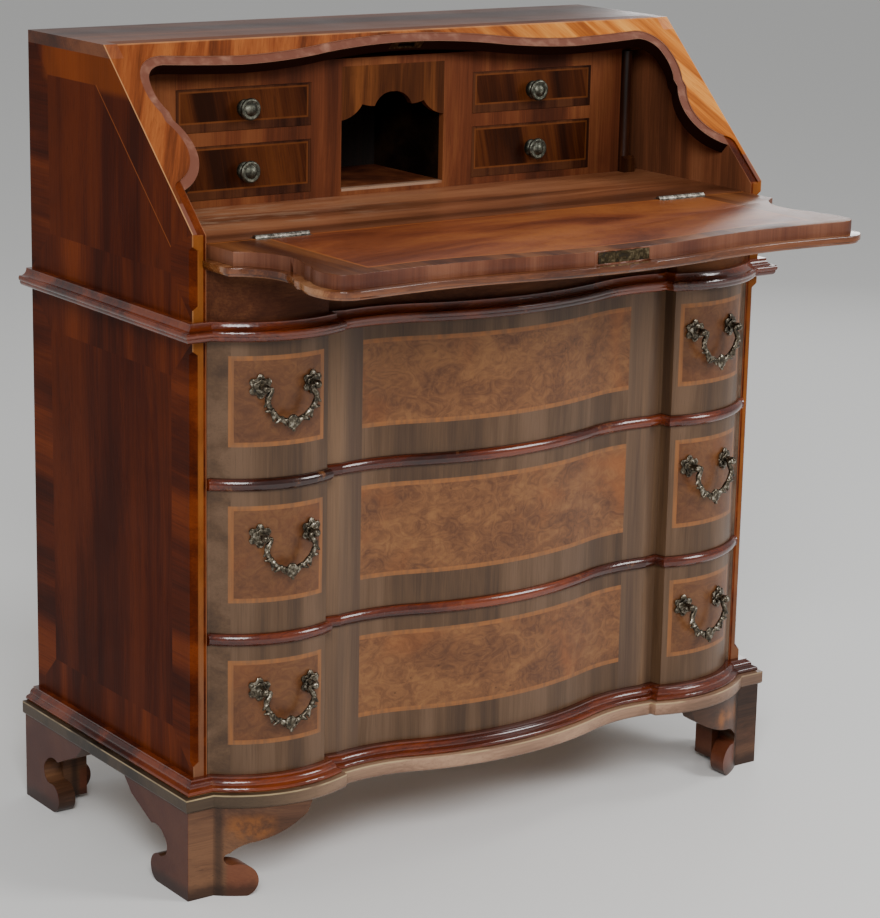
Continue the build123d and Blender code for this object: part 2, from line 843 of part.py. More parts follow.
def gallery_partitions():
    # upright boards from the writing board to the gallery top, running back from the stiles
    pieces = []
    edges = (pigeonhole_share * half_inner, stile_share * half_inner - partition_thickness)
    edges += (small_drawer_share * half_inner, end_stile_share * half_inner)
    for x in edges:
        near = (x, gallery_front + gallery_board, writing_level)
        pieces += both_sides(block(near, (x + partition_thickness, back_face, gallery_under)))
    return pieces


def gallery_apron():
    # the cusped arch over the pigeonhole
    reach = pigeonhole_share * half_inner
    spring = writing_level + arch_spring_height
    peak = writing_level + arch_peak_height
    hollow, cusp, dip, foot, dome = [
        (reach * across, spring + (peak - spring) * up) for across, up in arch_place_shares
    ]
    shape = Polyline((0, gallery_under), (reach, gallery_under), (reach, spring))
    shape += ThreePointArc((reach, spring), hollow, cusp)
    shape += ThreePointArc(cusp, dip, foot)
    shape += ThreePointArc(foot, dome, (0, peak))
    face = mirrored_face(shape.edges())
    front = Plane(origin=(0, gallery_front + gallery_board, 0), x_dir=(1, 0, 0), z_dir=(0, -1, 0))
    return extrude(front * face, gallery_board)


def gallery_end_beads():
    # the narrow pilasters at the gallery's ends, with a spreading foot
    x_low = end_stile_share * half_inner
    x_high = end_bead_share * half_inner
    back = gallery_front + gallery_board
    front = gallery_front - end_bead_projection
    middle = (x_low + x_high) / 2
    radius = (x_high - x_low) / 2
    nose = Pos(middle, front + radius, 0) * Circle(radius).face()
    straight = Rectangle(2 * radius, back - front - radius).face()
    shaft = nose + Pos(middle, (front + radius + back) / 2) * straight
    height = gallery_under - writing_level
    post = Pos(0, 0, writing_level) * extrude(shaft.face(), height)
    foot_low = (x_low, front - end_bead_foot_step, writing_level)
    foot_high = (x_high + end_bead_foot_step, back, writing_level + end_bead_foot_height)
    foot = block(foot_low, foot_high)
    near_top = foot.edges().group_by(Axis.Z)[-1].sort_by(Axis.Y)[0]
    foot = chamfer(near_top, end_bead_foot_step)
    return both_sides(post + foot)


# Drawers

def front_zone(half, low, high):
    return block((-half, -2 * bulge_depth, low), (half, drawer_front_thickness, high))


def drawer_front(low, high, post_z):
    # the serpentine front, drilled for the handles' bolts
    reach = half_inner - drawer_gap
    whole = plan_block(0, low, high) - plan_block(-drawer_front_thickness, low, high)
    front = whole & front_zone(reach, low, high)
    for hole in handle_bolts(post_z):
        front -= hole
    return front


def drawer_box(low, high):
    # two sides, a back and a bottom, each its own board
    outer = half_inner - drawer_side_gap
    inner = outer - drawer_side_thickness
    back = back_face - drawer_back_gap
    top = high - drawer_top_gap
    start = drawer_front_thickness
    floor = low + drawer_bottom_lift
    side = block((inner, start, low), (outer, back, top))
    bottom_near = (-inner, drawer_front_thickness, floor)
    bottom = block(bottom_near, (inner, back, floor + drawer_bottom_thickness))
    rear_near = (-inner, back - drawer_side_thickness, floor + drawer_bottom_thickness)
    return both_sides(side) + [bottom, block(rear_near, (inner, back, top))]


# Handles



def handle_place(side, post_z):
    # the middle between two posts on the lobe's chord, with local -Y facing out
    centre_x = handle_centre_share * half_inner
    rise = lobe_y(centre_x + handle_spacing / 2) - lobe_y(centre_x - handle_spacing / 2)
    turn = asin(rise / handle_spacing)
    reach = handle_spacing / 2 * cos(turn)
    middle_y = (lobe_y(centre_x - reach) + lobe_y(centre_x + reach)) / 2
    return Pos(side * centre_x, middle_y, post_z) * Rot(0, 0, side * degrees(turn))


def forward_cylinder(radius, start, end):
    # a cylinder along local Y from start out to end, both counted forwards from the face
    return Pos(0, -(start + end) / 2, 0) * Rot(90, 0, 0) * Cylinder(radius, end - start)


def handle_bolts(post_z):
    # the bolts' room through the drawer front
    bolts = []
    for side in (-1, 1):
        for end in (-1, 1):
            bolt = forward_cylinder(handle_bolt_radius, -2 * drawer_front_thickness, rosette_thickness)
            bolts.append(handle_place(side, post_z) * Pos(end * handle_spacing / 2, 0, 0) * bolt)
    return bolts


def rosette(side, end):
    # a domed plate that beds on the lobe, tilted to the face under it
    radius = rosette_diameter / 2
    dome = Cylinder(radius, 2 * rosette_thickness)
    dome = fillet(dome.edges().group_by(Axis.Z)[-1], rosette_thickness / 2)
    tilt = degrees(asin(handle_spacing / 2 / lobe_arc().radius))
    return Rot(0, 0, end * tilt) * Rot(90, 0, 0) * dome


def pierced_ball(end):
    # the ball at a post's end, bored to its middle for the bail's pin
    bore = Pos(-end * 2 * eye_radius, 0, 0) * Rot(0, 90, 0)
    bore *= Cylinder(bail_pin_radius + bail_pin_play, 4 * eye_radius)
    return Pos(0, -post_reach, 0) * (Sphere(eye_radius) - bore)


def handle_mounts(post_z, front):
    # rosettes with posts, and the bolts and nuts behind the front
    low_nut = -drawer_front_thickness - 2 * handle_nut_thickness
    pieces = []
    for side in (-1, 1):
        for end in (-1, 1):
            place = handle_place(side, post_z) * Pos(end * handle_spacing / 2, 0, 0)
            stem_end = post_reach - eye_radius * stem_end_share
            plate = rosette(side, end) + forward_cylinder(post_radius, -rosette_thickness, stem_end)
            post = (place * plate) - plan_block(0, post_z - rosette_diameter, post_z + rosette_diameter)
            post += place * pierced_ball(end)
            bolt = forward_cylinder(handle_bolt_radius, low_nut, rosette_thickness)
            nut = forward_cylinder(handle_nut_radius, low_nut, -drawer_front_thickness * nut_start_share)
            pieces.append(post + (place * (bolt + nut) - front))
    return pieces


def bail_path():
    # from post to post: a neck round each eye, a bend outwards and a shallow round bow
    post = handle_spacing / 2
    neck = eye_radius + bail_eye_gap + bail_radius
    turn = radians(bail_neck_turn)
    bend = bail_bend_radius
    neck_middle = (post - neck * cos(turn / 2), 0, -neck * sin(turn / 2))
    neck_end = (post - neck * cos(turn), 0, -neck * sin(turn))
    bend_x = neck_end[0] - bend * cos(turn)
    bend_z = neck_end[2] - bend * sin(turn)
    # the angle at which the bend runs into the bow without a kink
    quarter = radians(90)
    lean = quarter - 2 * atan2(bail_drop + bend_z - bend, bend_x)
    halfway = (turn - lean) / 2
    bend_middle = (bend_x + bend * cos(halfway), 0, bend_z + bend * sin(halfway))
    bow = bend + bend_x / cos(lean)
    bow_centre = bow - bail_drop
    bow_start = (bow * cos(lean), 0, bow_centre - bow * sin(lean))
    low = (quarter + lean) / 2
    bow_middle = (bow * cos(low), 0, bow_centre - bow * sin(low))
    half = [
        ThreePointArc((post - neck, 0, 0), neck_middle, neck_end),
        ThreePointArc(neck_end, bend_middle, bow_start),
        ThreePointArc(bow_start, bow_middle, (0, 0, -bail_drop)),
    ]
    return Wire((Curve() + half + [mirror(edge, about=Plane.YZ) for edge in half]).edges())


def bail(side, post_z):
    # a drop bail with a swelling ornament, hung on pins in the posts
    path = bail_path()
    section = Plane(origin=path @ 0, z_dir=path % 0) * Circle(bail_radius)
    ring = sweep(section, path=path)
    start = handle_spacing / 2 - eye_radius - bail_eye_gap - bail_radius
    pin_end = handle_spacing / 2 - bail_eye_gap
    for end in (-1, 1):
        ring += Pos(end * start, 0, 0) * Sphere(bail_radius)
        pin = Pos(end * (start + pin_end) / 2, 0, 0) * Rot(0, 90, 0)
        ring += pin * Cylinder(bail_pin_radius, pin_end - start)
    half = bail_ornament_length / 2
    swell = ThreePointArc((-half, bail_pin_radius), (0, bail_ornament_radius), (half, bail_pin_radius))
    swell += Polyline((half, bail_pin_radius), (half, 0), (-half, 0), (-half, bail_pin_radius))
    ornament = revolve(make_face(swell.edges()), Axis.X)
    ring += Pos(0, 0, -bail_drop) * ornament
    return handle_place(side, post_z) * Pos(0, -post_reach, 0) * ring


# Small drawers

def small_drawer(side, low, high):
    # a front, two sides, a back and a bottom
    near_x = stile_share * half_inner + small_gap
    far_x = small_drawer_share * half_inner - small_gap
    top = high - small_gap
    behind = gallery_front + small_front_thickness
    back = back_face - small_back_gap
    front = block((near_x, gallery_front, low + small_gap), (far_x, behind, top))
    pieces = [front]
    for x in (near_x, far_x - small_side_thickness):
        far = (x + small_side_thickness, back, top - small_side_thickness)
        pieces.append(block((x, behind, low + small_gap), far))
    inner = (near_x + small_side_thickness, far_x - small_side_thickness)
    floor = low + small_gap + small_bottom_thickness
    pieces.append(block((inner[0], behind, low + small_gap), (inner[1], back, floor)))
    rear_near = (inner[0], back - small_side_thickness, floor)
    pieces.append(block(rear_near, (inner[1], back, top - small_side_thickness)))
    return pieces if side > 0 else [mirror(piece, about=Plane.YZ) for piece in pieces]


def knob(side, low, high):
    # a turned knob: back plate, stem and a ringed head
    radius = knob_diameter / 2
    plate = (radius * knob_plate_share, knob_plate_thickness)
    stem = (knob_stem_diameter / 2, knob_projection * knob_stem_share)
    neck, rim, lip, ring, dome, tip = [
        (radius * across, knob_projection * out) for across, out in knob_head_shares
    ]
    shape = Polyline((0, 0), (plate[0], 0), plate) + ThreePointArc(plate, stem, neck)
    shape += ThreePointArc(neck, rim, lip)
    shape += Polyline(lip, ring)
    shape += ThreePointArc(ring, dome, tip)
    shape += Polyline(tip, (0, knob_projection), (0, 0))
    turned = revolve(make_face(shape.edges()), Axis.Y)
    middle_x = (stile_share + small_drawer_share) / 2 * half_inner
    return Pos(side * middle_x, gallery_front, (low + high) / 2) * Rot(180, 0, 0) * turned


# Assembly

def case_nodes():
    side = case_side()
    stile_left, stile_right, slant_rail = slant_pieces()
    front_foot_pieces = front_foot()
    rear_foot_pieces = rear_foot()
    return {
        "case_side_left": [mirror(side, about=Plane.YZ)],
        "case_side_right": [side],
        "top_board": [top_board()],
        "bottom_board": [bottom_board()],
        "back_boards": back_boards(),
        "writing_board": [writing_board()],
        "frieze_rail": [rail(waist_bottom, frieze_top)],
        "upper_drawer_rail": [rail(upper_rail_bottom, upper_rail_bottom + rail_thickness),
                              bead(upper_rail_bottom)],
        "lower_drawer_rail": [rail(lower_rail_bottom, lower_rail_bottom + rail_thickness),
                              bead(lower_rail_bottom)],
        "base_rail": [rail(base_height, base_moulding_top)],
        "drawer_runners": drawer_runners(),
        "dust_boards": dust_boards(),
        "waist_moulding": moulding_pieces(waist_profile(), waist_bottom, waist_top),
        "base_moulding": moulding_pieces(base_profile(), base_height, base_moulding_top),
        "plinth_band": moulding_pieces(plinth_profile(), base_height, base_moulding_top),
        "foot_front_left": [mirror(piece, about=Plane.YZ) for piece in front_foot_pieces],
        "foot_front_right": front_foot_pieces,
        "foot_rear_left": [mirror(piece, about=Plane.YZ) for piece in rear_foot_pieces],
        "foot_rear_right": rear_foot_pieces,
        "slant_stile_left": [stile_left],
        "slant_stile_right": [stile_right],
        "slant_rail": [slant_rail],
        "lock_keeper": [lock_keeper()],
        "case_hinge_leaves": case_hinge_leaves(),
    }


def gallery_nodes():
    return {
        "gallery_top": [gallery_top()],
        "gallery_stiles": gallery_stiles(),
        "gallery_rails": gallery_rails(),
        "gallery_shelves": gallery_shelves(),
        "gallery_partitions": gallery_partitions(),
        "gallery_apron": [gallery_apron()],
        "gallery_end_beads": gallery_end_beads(),
    }


def fall_nodes():
    return {
        "fall_board": [fall_board()],
        "fall_lip": [fall_lip()],
        "fall_lock": [fall_lock()],
        "lock_bolt": [lock_bolt()],
        "fall_hinge_leaves": fall_hinge_leaves(),
    }


def long_drawer_nodes():
    levels = {
        "top": (upper_rail_bottom + rail_thickness, waist_bottom),
        "middle": (lower_rail_bottom + rail_thickness, upper_rail_bottom),
        "bottom": (base_moulding_top, lower_rail_bottom),
    }
    nodes = {}
    for name, (low, high) in levels.items():
        post_z = high - handle_below_opening
        front = drawer_front(low + runner_play, high - drawer_gap, post_z)
        nodes[name + "_drawer_front"] = [front]
        nodes[name + "_drawer_box"] = drawer_box(low + runner_play, high)
        nodes[name + "_drawer_mounts"] = handle_mounts(post_z, front)
        nodes[name + "_bail_left"] = [bail(-1, post_z)]
        nodes[name + "_bail_right"] = [bail(1, post_z)]
    return nodes


def small_drawer_nodes():
    levels = {"upper": (upper_small_bottom, upper_small_top), "lower": (sill, lower_small_top)}
    nodes = {}
    for level, (low, high) in levels.items():
        for name, side in (("left", -1), ("right", 1)):
            nodes[f"small_drawer_{level}_{name}"] = small_drawer(side, low, high)
            nodes[f"small_knob_{level}_{name}"] = [knob(side, low, high)]
    return nodes


def write_nodes(nodes):
    # the origin is under the middle of the whole, the open fall included
    front = hinge_y + hinge_s - (opening_peak_share * slant_length + lip_lap)
    centre = Pos(0, -(front + case_depth) / 2, 0)
    os.makedirs("parts", exist_ok=True)
    for name, pieces in nodes.items():
        solids = [solid for piece in pieces for solid in piece.solids()]
        export_step(Compound(children=[centre * solid for solid in solids]), f"parts/{name}.step")


all_nodes = case_nodes() | gallery_nodes() | fall_nodes() | long_drawer_nodes() | small_drawer_nodes()
print(len(all_nodes), "nodes; hinge axis", hinge_y, hinge_z, "closing turn", closing_turn)
write_nodes(all_nodes)
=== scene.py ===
import bmesh
import bpy
import json
import math
from mathutils import Matrix, Vector

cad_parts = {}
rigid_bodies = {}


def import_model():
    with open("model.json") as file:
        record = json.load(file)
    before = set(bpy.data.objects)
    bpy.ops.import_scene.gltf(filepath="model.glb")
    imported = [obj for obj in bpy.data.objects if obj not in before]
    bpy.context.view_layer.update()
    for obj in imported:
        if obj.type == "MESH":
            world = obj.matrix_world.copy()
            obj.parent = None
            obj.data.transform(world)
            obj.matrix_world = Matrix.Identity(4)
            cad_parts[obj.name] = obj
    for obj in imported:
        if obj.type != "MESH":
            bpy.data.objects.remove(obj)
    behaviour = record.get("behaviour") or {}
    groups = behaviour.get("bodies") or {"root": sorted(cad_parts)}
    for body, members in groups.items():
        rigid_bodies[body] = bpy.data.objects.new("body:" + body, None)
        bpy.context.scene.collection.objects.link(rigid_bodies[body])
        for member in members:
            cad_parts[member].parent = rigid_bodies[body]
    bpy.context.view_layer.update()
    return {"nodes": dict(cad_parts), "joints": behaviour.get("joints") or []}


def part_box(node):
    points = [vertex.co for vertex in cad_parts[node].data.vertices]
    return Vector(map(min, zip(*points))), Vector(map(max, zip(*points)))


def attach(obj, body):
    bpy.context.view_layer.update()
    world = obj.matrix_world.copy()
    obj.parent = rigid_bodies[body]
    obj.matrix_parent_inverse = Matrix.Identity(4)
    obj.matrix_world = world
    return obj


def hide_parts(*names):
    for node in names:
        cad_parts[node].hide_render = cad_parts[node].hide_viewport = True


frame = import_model()
nodes = frame["nodes"]
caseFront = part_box("case_side_left")[0].y      # the front edge of the case sides
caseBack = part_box("case_side_left")[1].y
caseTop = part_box("top_board")[1].z
print("frame loaded:", len(nodes), "nodes")


# camera
cameraSetup = {
    "place": (-2.0258, -2.8044, 1.3539),
    "yaw": 35.458,
    "pitch": 14.346,
    "roll": 1.162,
    "focalPixels": 2804.3,
    "imageHeight": 918,
    "sensorWidth": 36,
}


def addCamera(setup):
    yaw, pitch, roll = (math.radians(setup[key]) for key in ("yaw", "pitch", "roll"))
    forward = Vector((math.sin(yaw) * math.cos(pitch), math.cos(yaw) * math.cos(pitch), -math.sin(pitch)))
    right = Vector((math.cos(yaw), -math.sin(yaw), 0))
    up = right.cross(forward)
    tiltedRight = math.cos(roll) * right + math.sin(roll) * up
    tiltedUp = -math.sin(roll) * right + math.cos(roll) * up
    data = bpy.data.cameras.new("deskCamera")
    data.sensor_width = setup["sensorWidth"]
    data.lens = setup["focalPixels"] / setup["imageHeight"] * setup["sensorWidth"]
    camera = bpy.data.objects.new("deskCamera", data)
    turn = Matrix((tiltedRight, tiltedUp, -forward)).transposed().to_4x4()
    camera.matrix_world = Matrix.Translation(setup["place"]) @ turn
    bpy.context.scene.collection.objects.link(camera)
    bpy.context.scene.camera = camera


addCamera(cameraSetup)


# light and floor
studio = {
    "worldStrength": 0.42,
    "softboxes": [
        # place, size, watts, turned towards
        ((-2.3, -3.2, 2.9), 1.6, 150, (0, 0, 0.5)),
        ((2.4, -2.6, 2.2), 1.2, 70, (0, 0, 0.5)),
        ((1.9, -0.35, 3.1), 0.9, 14, (0.3, 0, 0.9)),
        ((2.7, 2.4, 1.45), 0.8, 8, (0.4, -0.2, 0.8)),
    ],
    "floorColour": "EDEDEB",
    "floorSize": 60,
    "floorRoughness": 0.7,
}


def rgb(text):
    # a web colour as the shader's linear colour
    parts = [int(text[i:i + 2], 16) / 255 for i in (0, 2, 4)]
    return [c / 12.92 if c <= 0.04045 else ((c + 0.055) / 1.055) ** 2.4 for c in parts] + [1]


def addLights(setup):
    world = bpy.data.worlds.new("studioWorld")
    world.use_nodes = True
    world.node_tree.nodes["Background"].inputs["Color"].default_value = (1, 1, 1, 1)
    world.node_tree.nodes["Background"].inputs["Strength"].default_value = setup["worldStrength"]
    bpy.context.scene.world = world
    for place, size, watts, target in setup["softboxes"]:
        bpy.ops.object.light_add(type="AREA", location=place)
        light = bpy.context.object
        light.data.size = size
        light.data.energy = watts
        light.rotation_euler = (Vector(target) - Vector(place)).to_track_quat("-Z", "Y").to_euler()


addLights(studio)
print("camera and studio ready")


# node helpers
def feed(tree, socket, value):
    if isinstance(value, bpy.types.NodeSocket):
        tree.links.new(value, socket)
    elif value is not None:
        socket.default_value = value


def addNode(tree, kind, values=None, **settings):
    node = tree.nodes.new("ShaderNode" + kind)
    for key, value in settings.items():
        setattr(node, key, value)
    for key, value in (values or {}).items():
        feed(tree, node.inputs[key], value)
    return node


def calc(tree, operation, *values, clamp=False):
    node = addNode(tree, "Math", operation=operation, use_clamp=clamp)
    for socket, value in zip(node.inputs, values):
        feed(tree, socket, value)
    return node.outputs[0]


def minus(tree, first, second):
    return calc(tree, "SUBTRACT", first, second)


def least(tree, *values):
    smallest = values[0]
    for value in values[1:]:
        smallest = calc(tree, "MINIMUM", smallest, value)
    return smallest


def step(tree, value, low, high):
    # 0 below low, 1 above high, smooth between
    values = {"Value": value, "From Min": low, "From Max": high}
    return addNode(tree, "MapRange", values, interpolation_type="SMOOTHSTEP").outputs[0]


def between(tree, value, low, high, soft=0.0004):
    rise = step(tree, value, low - soft, low + soft)
    fall = step(tree, value, high + soft, high - soft)
    return calc(tree, "MULTIPLY", rise, fall)


def both(tree, *masks):
    # masks and shares together
    total = masks[0]
    for mask in masks[1:]:
        total = calc(tree, "MULTIPLY", total, mask)
    return total


def either(tree, *masks):
    total = masks[0]
    for mask in masks[1:]:
        total = calc(tree, "MAXIMUM", total, mask)
    return total


def mixed(tree, factor, first, second):
    node = addNode(tree, "Mix", data_type="RGBA")
    for place, value in ((0, factor), (6, first), (7, second)):
        if isinstance(value, str):
            value = rgb(value)
        feed(tree, node.inputs[place], value)
    return node.outputs[2]


def tinted(tree, colour, shade, *masks):
    # the shade over the colour, as strongly as the masks and shares say
    return mixed(tree, both(tree, *masks), colour, shade)


def ramped(tree, value, stops):
    # a colour ramp from pairs of place and web colour
    node = addNode(tree, "ValToRGB", {"Fac": value})
    points = node.color_ramp.elements
    while len(points) < len(stops):
        points.new(0.5)
    for point, (place, colour) in zip(points, stops):
        point.position = place
        point.color = rgb(colour)
    return node.outputs[0]


def noise(tree, vector, scale, detail=4.0, rough=0.5, warp=0.0):
    values = {"Vector": vector, "Scale": scale, "Detail": detail, "Roughness": rough, "Distortion": warp}
    return addNode(tree, "TexNoise", values).outputs["Fac"]


def mapped(tree, vector, turn=(0, 0, 0), scale=(1, 1, 1), move=(0, 0, 0)):
    angles = [math.radians(a) for a in turn]
    values = {"Vector": vector, "Rotation": angles, "Scale": scale, "Location": move}
    return addNode(tree, "Mapping", values).outputs[0]


def newGroup(name, inputs, outputs):
    tree = bpy.data.node_groups.new(name, "ShaderNodeTree")
    for label, kind, value in inputs:
        socket = tree.interface.new_socket(name=label, in_out="INPUT", socket_type="NodeSocket" + kind)
        if value is not None:
            socket.default_value = value
    for label, kind in outputs:
        tree.interface.new_socket(name=label, in_out="OUTPUT", socket_type="NodeSocket" + kind)
    start = tree.nodes.new("NodeGroupInput").outputs
    end = tree.nodes.new("NodeGroupOutput").inputs
    return tree, start, end


def useGroup(tree, group, values):
    node = addNode(tree, "Group", node_tree=group)
    for key, value in values.items():
        feed(tree, node.inputs[key], value)
    return node.outputs


# shared effects
def makeGrainGroup():
    # straight grain along Z of the vector that it is given
    tree, start, end = newGroup(
        "woodGrain",
        [("Vector", "Vector", None), ("Figure", "Float", 18.0), ("Wander", "Float", 0.03)],
        [("Bands", "Float"), ("Fibre", "Float"), ("Pore", "Float")])
    slow = mapped(tree, start["Vector"], scale=(1, 1, 0.22))
    drift = noise(tree, slow, 5.0, 3)
    offset = calc(tree, "MULTIPLY", minus(tree, drift, 0.5), start["Wander"])
    parts = addNode(tree, "SeparateXYZ", {0: slow}).outputs
    sideways = {0: calc(tree, "ADD", parts[0], offset), 1: calc(tree, "ADD", parts[1], offset), 2: parts[2]}
    moved = addNode(tree, "CombineXYZ", sideways).outputs[0]
    bands = noise(tree, mapped(tree, moved, scale=(1, 1, 0.3)), start["Figure"], 5, 0.6, 0.3)
    fibre = noise(tree, mapped(tree, moved, scale=(1, 1, 0.06)), 420, 3, 0.7)
    pore = noise(tree, mapped(tree, moved, scale=(1, 1, 0.09)), 900, 2, 0.5)
    feed(tree, end["Bands"], step(tree, bands, 0.3, 0.7))
    feed(tree, end["Fibre"], fibre)
    feed(tree, end["Pore"], step(tree, pore, 0.6, 0.72))
    return tree


def makeBurrGroup():
    # burr walnut: clouds, curls and small dark eyes
    tree, start, end = newGroup(
        "burrFigure",
        [("Vector", "Vector", None)],
        [("Cloud", "Float"), ("Curl", "Float"), ("Eyes", "Float")])
    vector = start["Vector"]
    cloud = noise(tree, vector, 13, 4, 0.55, 1.2)
    curl = noise(tree, vector, 42, 6, 0.65, 2.6)
    cells = addNode(tree, "TexVoronoi", {"Vector": vector, "Scale": 95, "Randomness": 1}).outputs["Distance"]
    gate = step(tree, noise(tree, vector, 22, 2), 0.57, 0.66)
    feed(tree, end["Cloud"], step(tree, cloud, 0.32, 0.68))
    feed(tree, end["Curl"], step(tree, curl, 0.3, 0.7))
    feed(tree, end["Eyes"], both(tree, step(tree, cells, 0.22, 0.08), gate))
    return tree


def makePolishGroup():
    # old polish: soft smears and fine scratches
    tree, start, end = newGroup(
        "oldPolish",
        [("Vector", "Vector", None), ("Gloss", "Float", 0.25), ("Spread", "Float", 0.16)],
        [("Roughness", "Float"), ("Height", "Float")])
    smear = noise(tree, start["Vector"], 9, 5, 0.6, 0.6)
    fine = noise(tree, mapped(tree, start["Vector"], turn=(20, 35, 15), scale=(1, 1, 0.03)), 500, 2)
    scratch = step(tree, fine, 0.69, 0.76)
    level = calc(tree, "MULTIPLY_ADD", minus(tree, smear, 0.45), start["Spread"], start["Gloss"])
    rough = calc(tree, "MULTIPLY_ADD", scratch, 0.08, level)
    feed(tree, end["Roughness"], calc(tree, "MAXIMUM", rough, 0.06))
    feed(tree, end["Height"], calc(tree, "MULTIPLY_ADD", scratch, -0.3, smear))
    return tree


def makeCloudGroup():
    # broad soft clouds
    tree, start, end = newGroup("broadClouds", [("Vector", "Vector", None)], [("Cloud", "Float")])
    feed(tree, end["Cloud"], step(tree, noise(tree, start["Vector"], 7, 4, 0.6, 0.5), 0.5, 0.8))
    return tree


grainGroup = makeGrainGroup()
burrGroup = makeBurrGroup()
cloudGroup = makeCloudGroup()
polishGroup = makePolishGroup()


def newMaterial(name):
    material = bpy.data.materials.new(name)
    material.use_nodes = True
    tree = material.node_tree
    place = addNode(tree, "TexCoord").outputs["Object"]
    axes = addNode(tree, "SeparateXYZ", {0: place}).outputs
    return material, tree, place, axes


def finishWood(material, place, colour, finish, height=None):
    # polish and a fine relief over a wood colour
    tree = material.node_tree
    shader = tree.nodes["Principled BSDF"]
    values = {"Vector": place, "Gloss": finish["gloss"], "Spread": finish["spread"]}
    polish = useGroup(tree, polishGroup, values)
    feed(tree, shader.inputs["Base Color"], colour)
    feed(tree, shader.inputs["Roughness"], polish["Roughness"])
    relief = polish["Height"] if height is None else calc(tree, "ADD", polish["Height"], height)
    bump = addNode(tree, "Bump", {"Height": relief, "Strength": finish["relief"], "Distance": 0.0006})
    feed(tree, shader.inputs["Normal"], bump.outputs[0])
    shader.inputs["Coat Weight"].default_value = finish["coat"]
    shader.inputs["Coat Roughness"].default_value = finish["coatRoughness"]
    shader.inputs["Specular IOR Level"].default_value = finish["specular"]
    return material


# turns that lay the grain along an axis
grainTurns = {"upright": (0, 0, 0), "across": (0, 90, 0), "deep": (90, 0, 0)}


def grain(tree, vector, colours, figure, wander, direction="upright"):
    # a plain veneer's colour, with bands, fibres and pores, and its fibres alone
    dark, middle, light = colours
    laid = mapped(tree, vector, turn=grainTurns[direction])
    parts = useGroup(tree, grainGroup, {"Vector": laid, "Figure": figure, "Wander": wander})
    tone = calc(tree, "MULTIPLY_ADD", minus(tree, parts["Fibre"], 0.5), 0.7, parts["Bands"])
    colour = ramped(tree, tone, [(0.05, dark), (0.5, middle), (0.95, light)])
    return tinted(tree, colour, dark, parts["Pore"], 0.45), parts["Fibre"]


def clouded(tree, place, colour, shade):
    cloud = useGroup(tree, cloudGroup, {"Vector": place})["Cloud"]
    return tinted(tree, colour, shade, cloud, 0.5)


def burr(tree, vector, shades):
    parts = useGroup(tree, burrGroup, {"Vector": vector})
    cloud = calc(tree, "MULTIPLY_ADD", parts["Cloud"], 0.42, 0.08)
    tone = calc(tree, "MULTIPLY_ADD", parts["Curl"], 0.42, cloud)
    colour = ramped(tree, tone, [(0.1, shades["dark"]), (0.5, shades["middle"]), (0.9, shades["light"])])
    return tinted(tree, colour, shades["eye"], parts["Eyes"], 0.55)


def dress(material, *names):
    for name in names:
        for slot in nodes[name].material_slots:
            slot.material = material


# finishes
def finishOf(gloss, spread, relief, coat, coatRoughness, specular):
    return {"gloss": gloss, "spread": spread, "relief": relief,
            "coat": coat, "coatRoughness": coatRoughness, "specular": specular}


sidePolish = finishOf(0.4, 0.2, 0.2, 0.0, 0.25, 0.05)
softPolish = finishOf(0.34, 0.2, 0.22, 0.04, 0.2, 0.26)
highPolish = finishOf(0.18, 0.12, 0.12, 0.4, 0.07, 0.4)
bareWood = finishOf(0.75, 0.15, 0.5, 0.0, 0.5, 0.3)
print("shared effects ready")


# case sides, and the gold veneer that they share with the slant frame
slantLook = {
    # redder on the left; lighter and more golden on the right, a painted glare on that side
    "veneer": ("522712", "7A3E1E", "96562A"),
    "glareLitVeneer": ("83400F", "B9691F", "DA9440"),
    "rebate": "6C4234",
    # pale wear on the rebate, also its painted edge highlights
    "rebateWearAndHighlight": "C99A80",
    # painted shade, near black, on the faces behind the rebate
    "shadeInOpening": "1A0906",
    "topEdge": "B98256",
    "planeTurn": 43,
    "grainTurn": 28,
    "rebateDepth": 0.002,
}
sideLook = {
    "field": ("290901", "3F1303", "582207"),
    "border": ("340F03", "501D06", "6C2E0D"),
    "inside": ("523020", "74442C", "8E5A3C"),
    "topPatch": "8A4214",
    "line": "8E4A20",
    "borderWidth": 0.05,
    "lineWidth": 0.0016,
    "lowerTop": 0.681,
    "upperBottom": 0.703,
    "lowerBottom": 0.148,
    "slantFoot": 0.805,
    "slantRun": 0.206,
    "slantRise": 0.195,
    "waist": 0.69,
    "thickness": 0.018,
    # the pale arris: wear and a painted highlight
    "corner": "D09A66",
    "frontEdge": "824C20",
    "rubbedEdge": "6E5040",
    "rubbedHeights": (0.42, 0.2),
}
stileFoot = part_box("slant_stile_left")[0].z


def goldVeneer(tree, axes, look):
    # the same figure on both halves, slanting towards the middle
    mirrored = calc(tree, "ABSOLUTE", axes[0])
    folded = addNode(tree, "CombineXYZ", {0: mirrored, 1: axes[1], 2: axes[2]}).outputs[0]
    flat = mapped(tree, folded, turn=(look["planeTurn"], 0, 0))
    slanting = mapped(tree, flat, turn=(0, look["grainTurn"], 0))
    redder, fibre = grain(tree, slanting, look["veneer"], figure=26, wander=0.05)
    golden, _ = grain(tree, slanting, look["glareLitVeneer"], figure=26, wander=0.05)
    # painted glare: mixed across towards the lighter veneer on the right
    return mixed(tree, step(tree, axes[0], -0.1, 0.42), redder, golden), fibre


def slantDepth(tree, axes, look):
    # how far a place lies behind the slanted plane
    length = math.hypot(look["slantRun"], look["slantRise"])
    back = calc(tree, "MULTIPLY", minus(tree, axes[1], caseFront), look["slantRise"] / length)
    up = calc(tree, "MULTIPLY", minus(tree, axes[2], look["slantFoot"]), look["slantRun"] / length)
    return minus(tree, back, up)


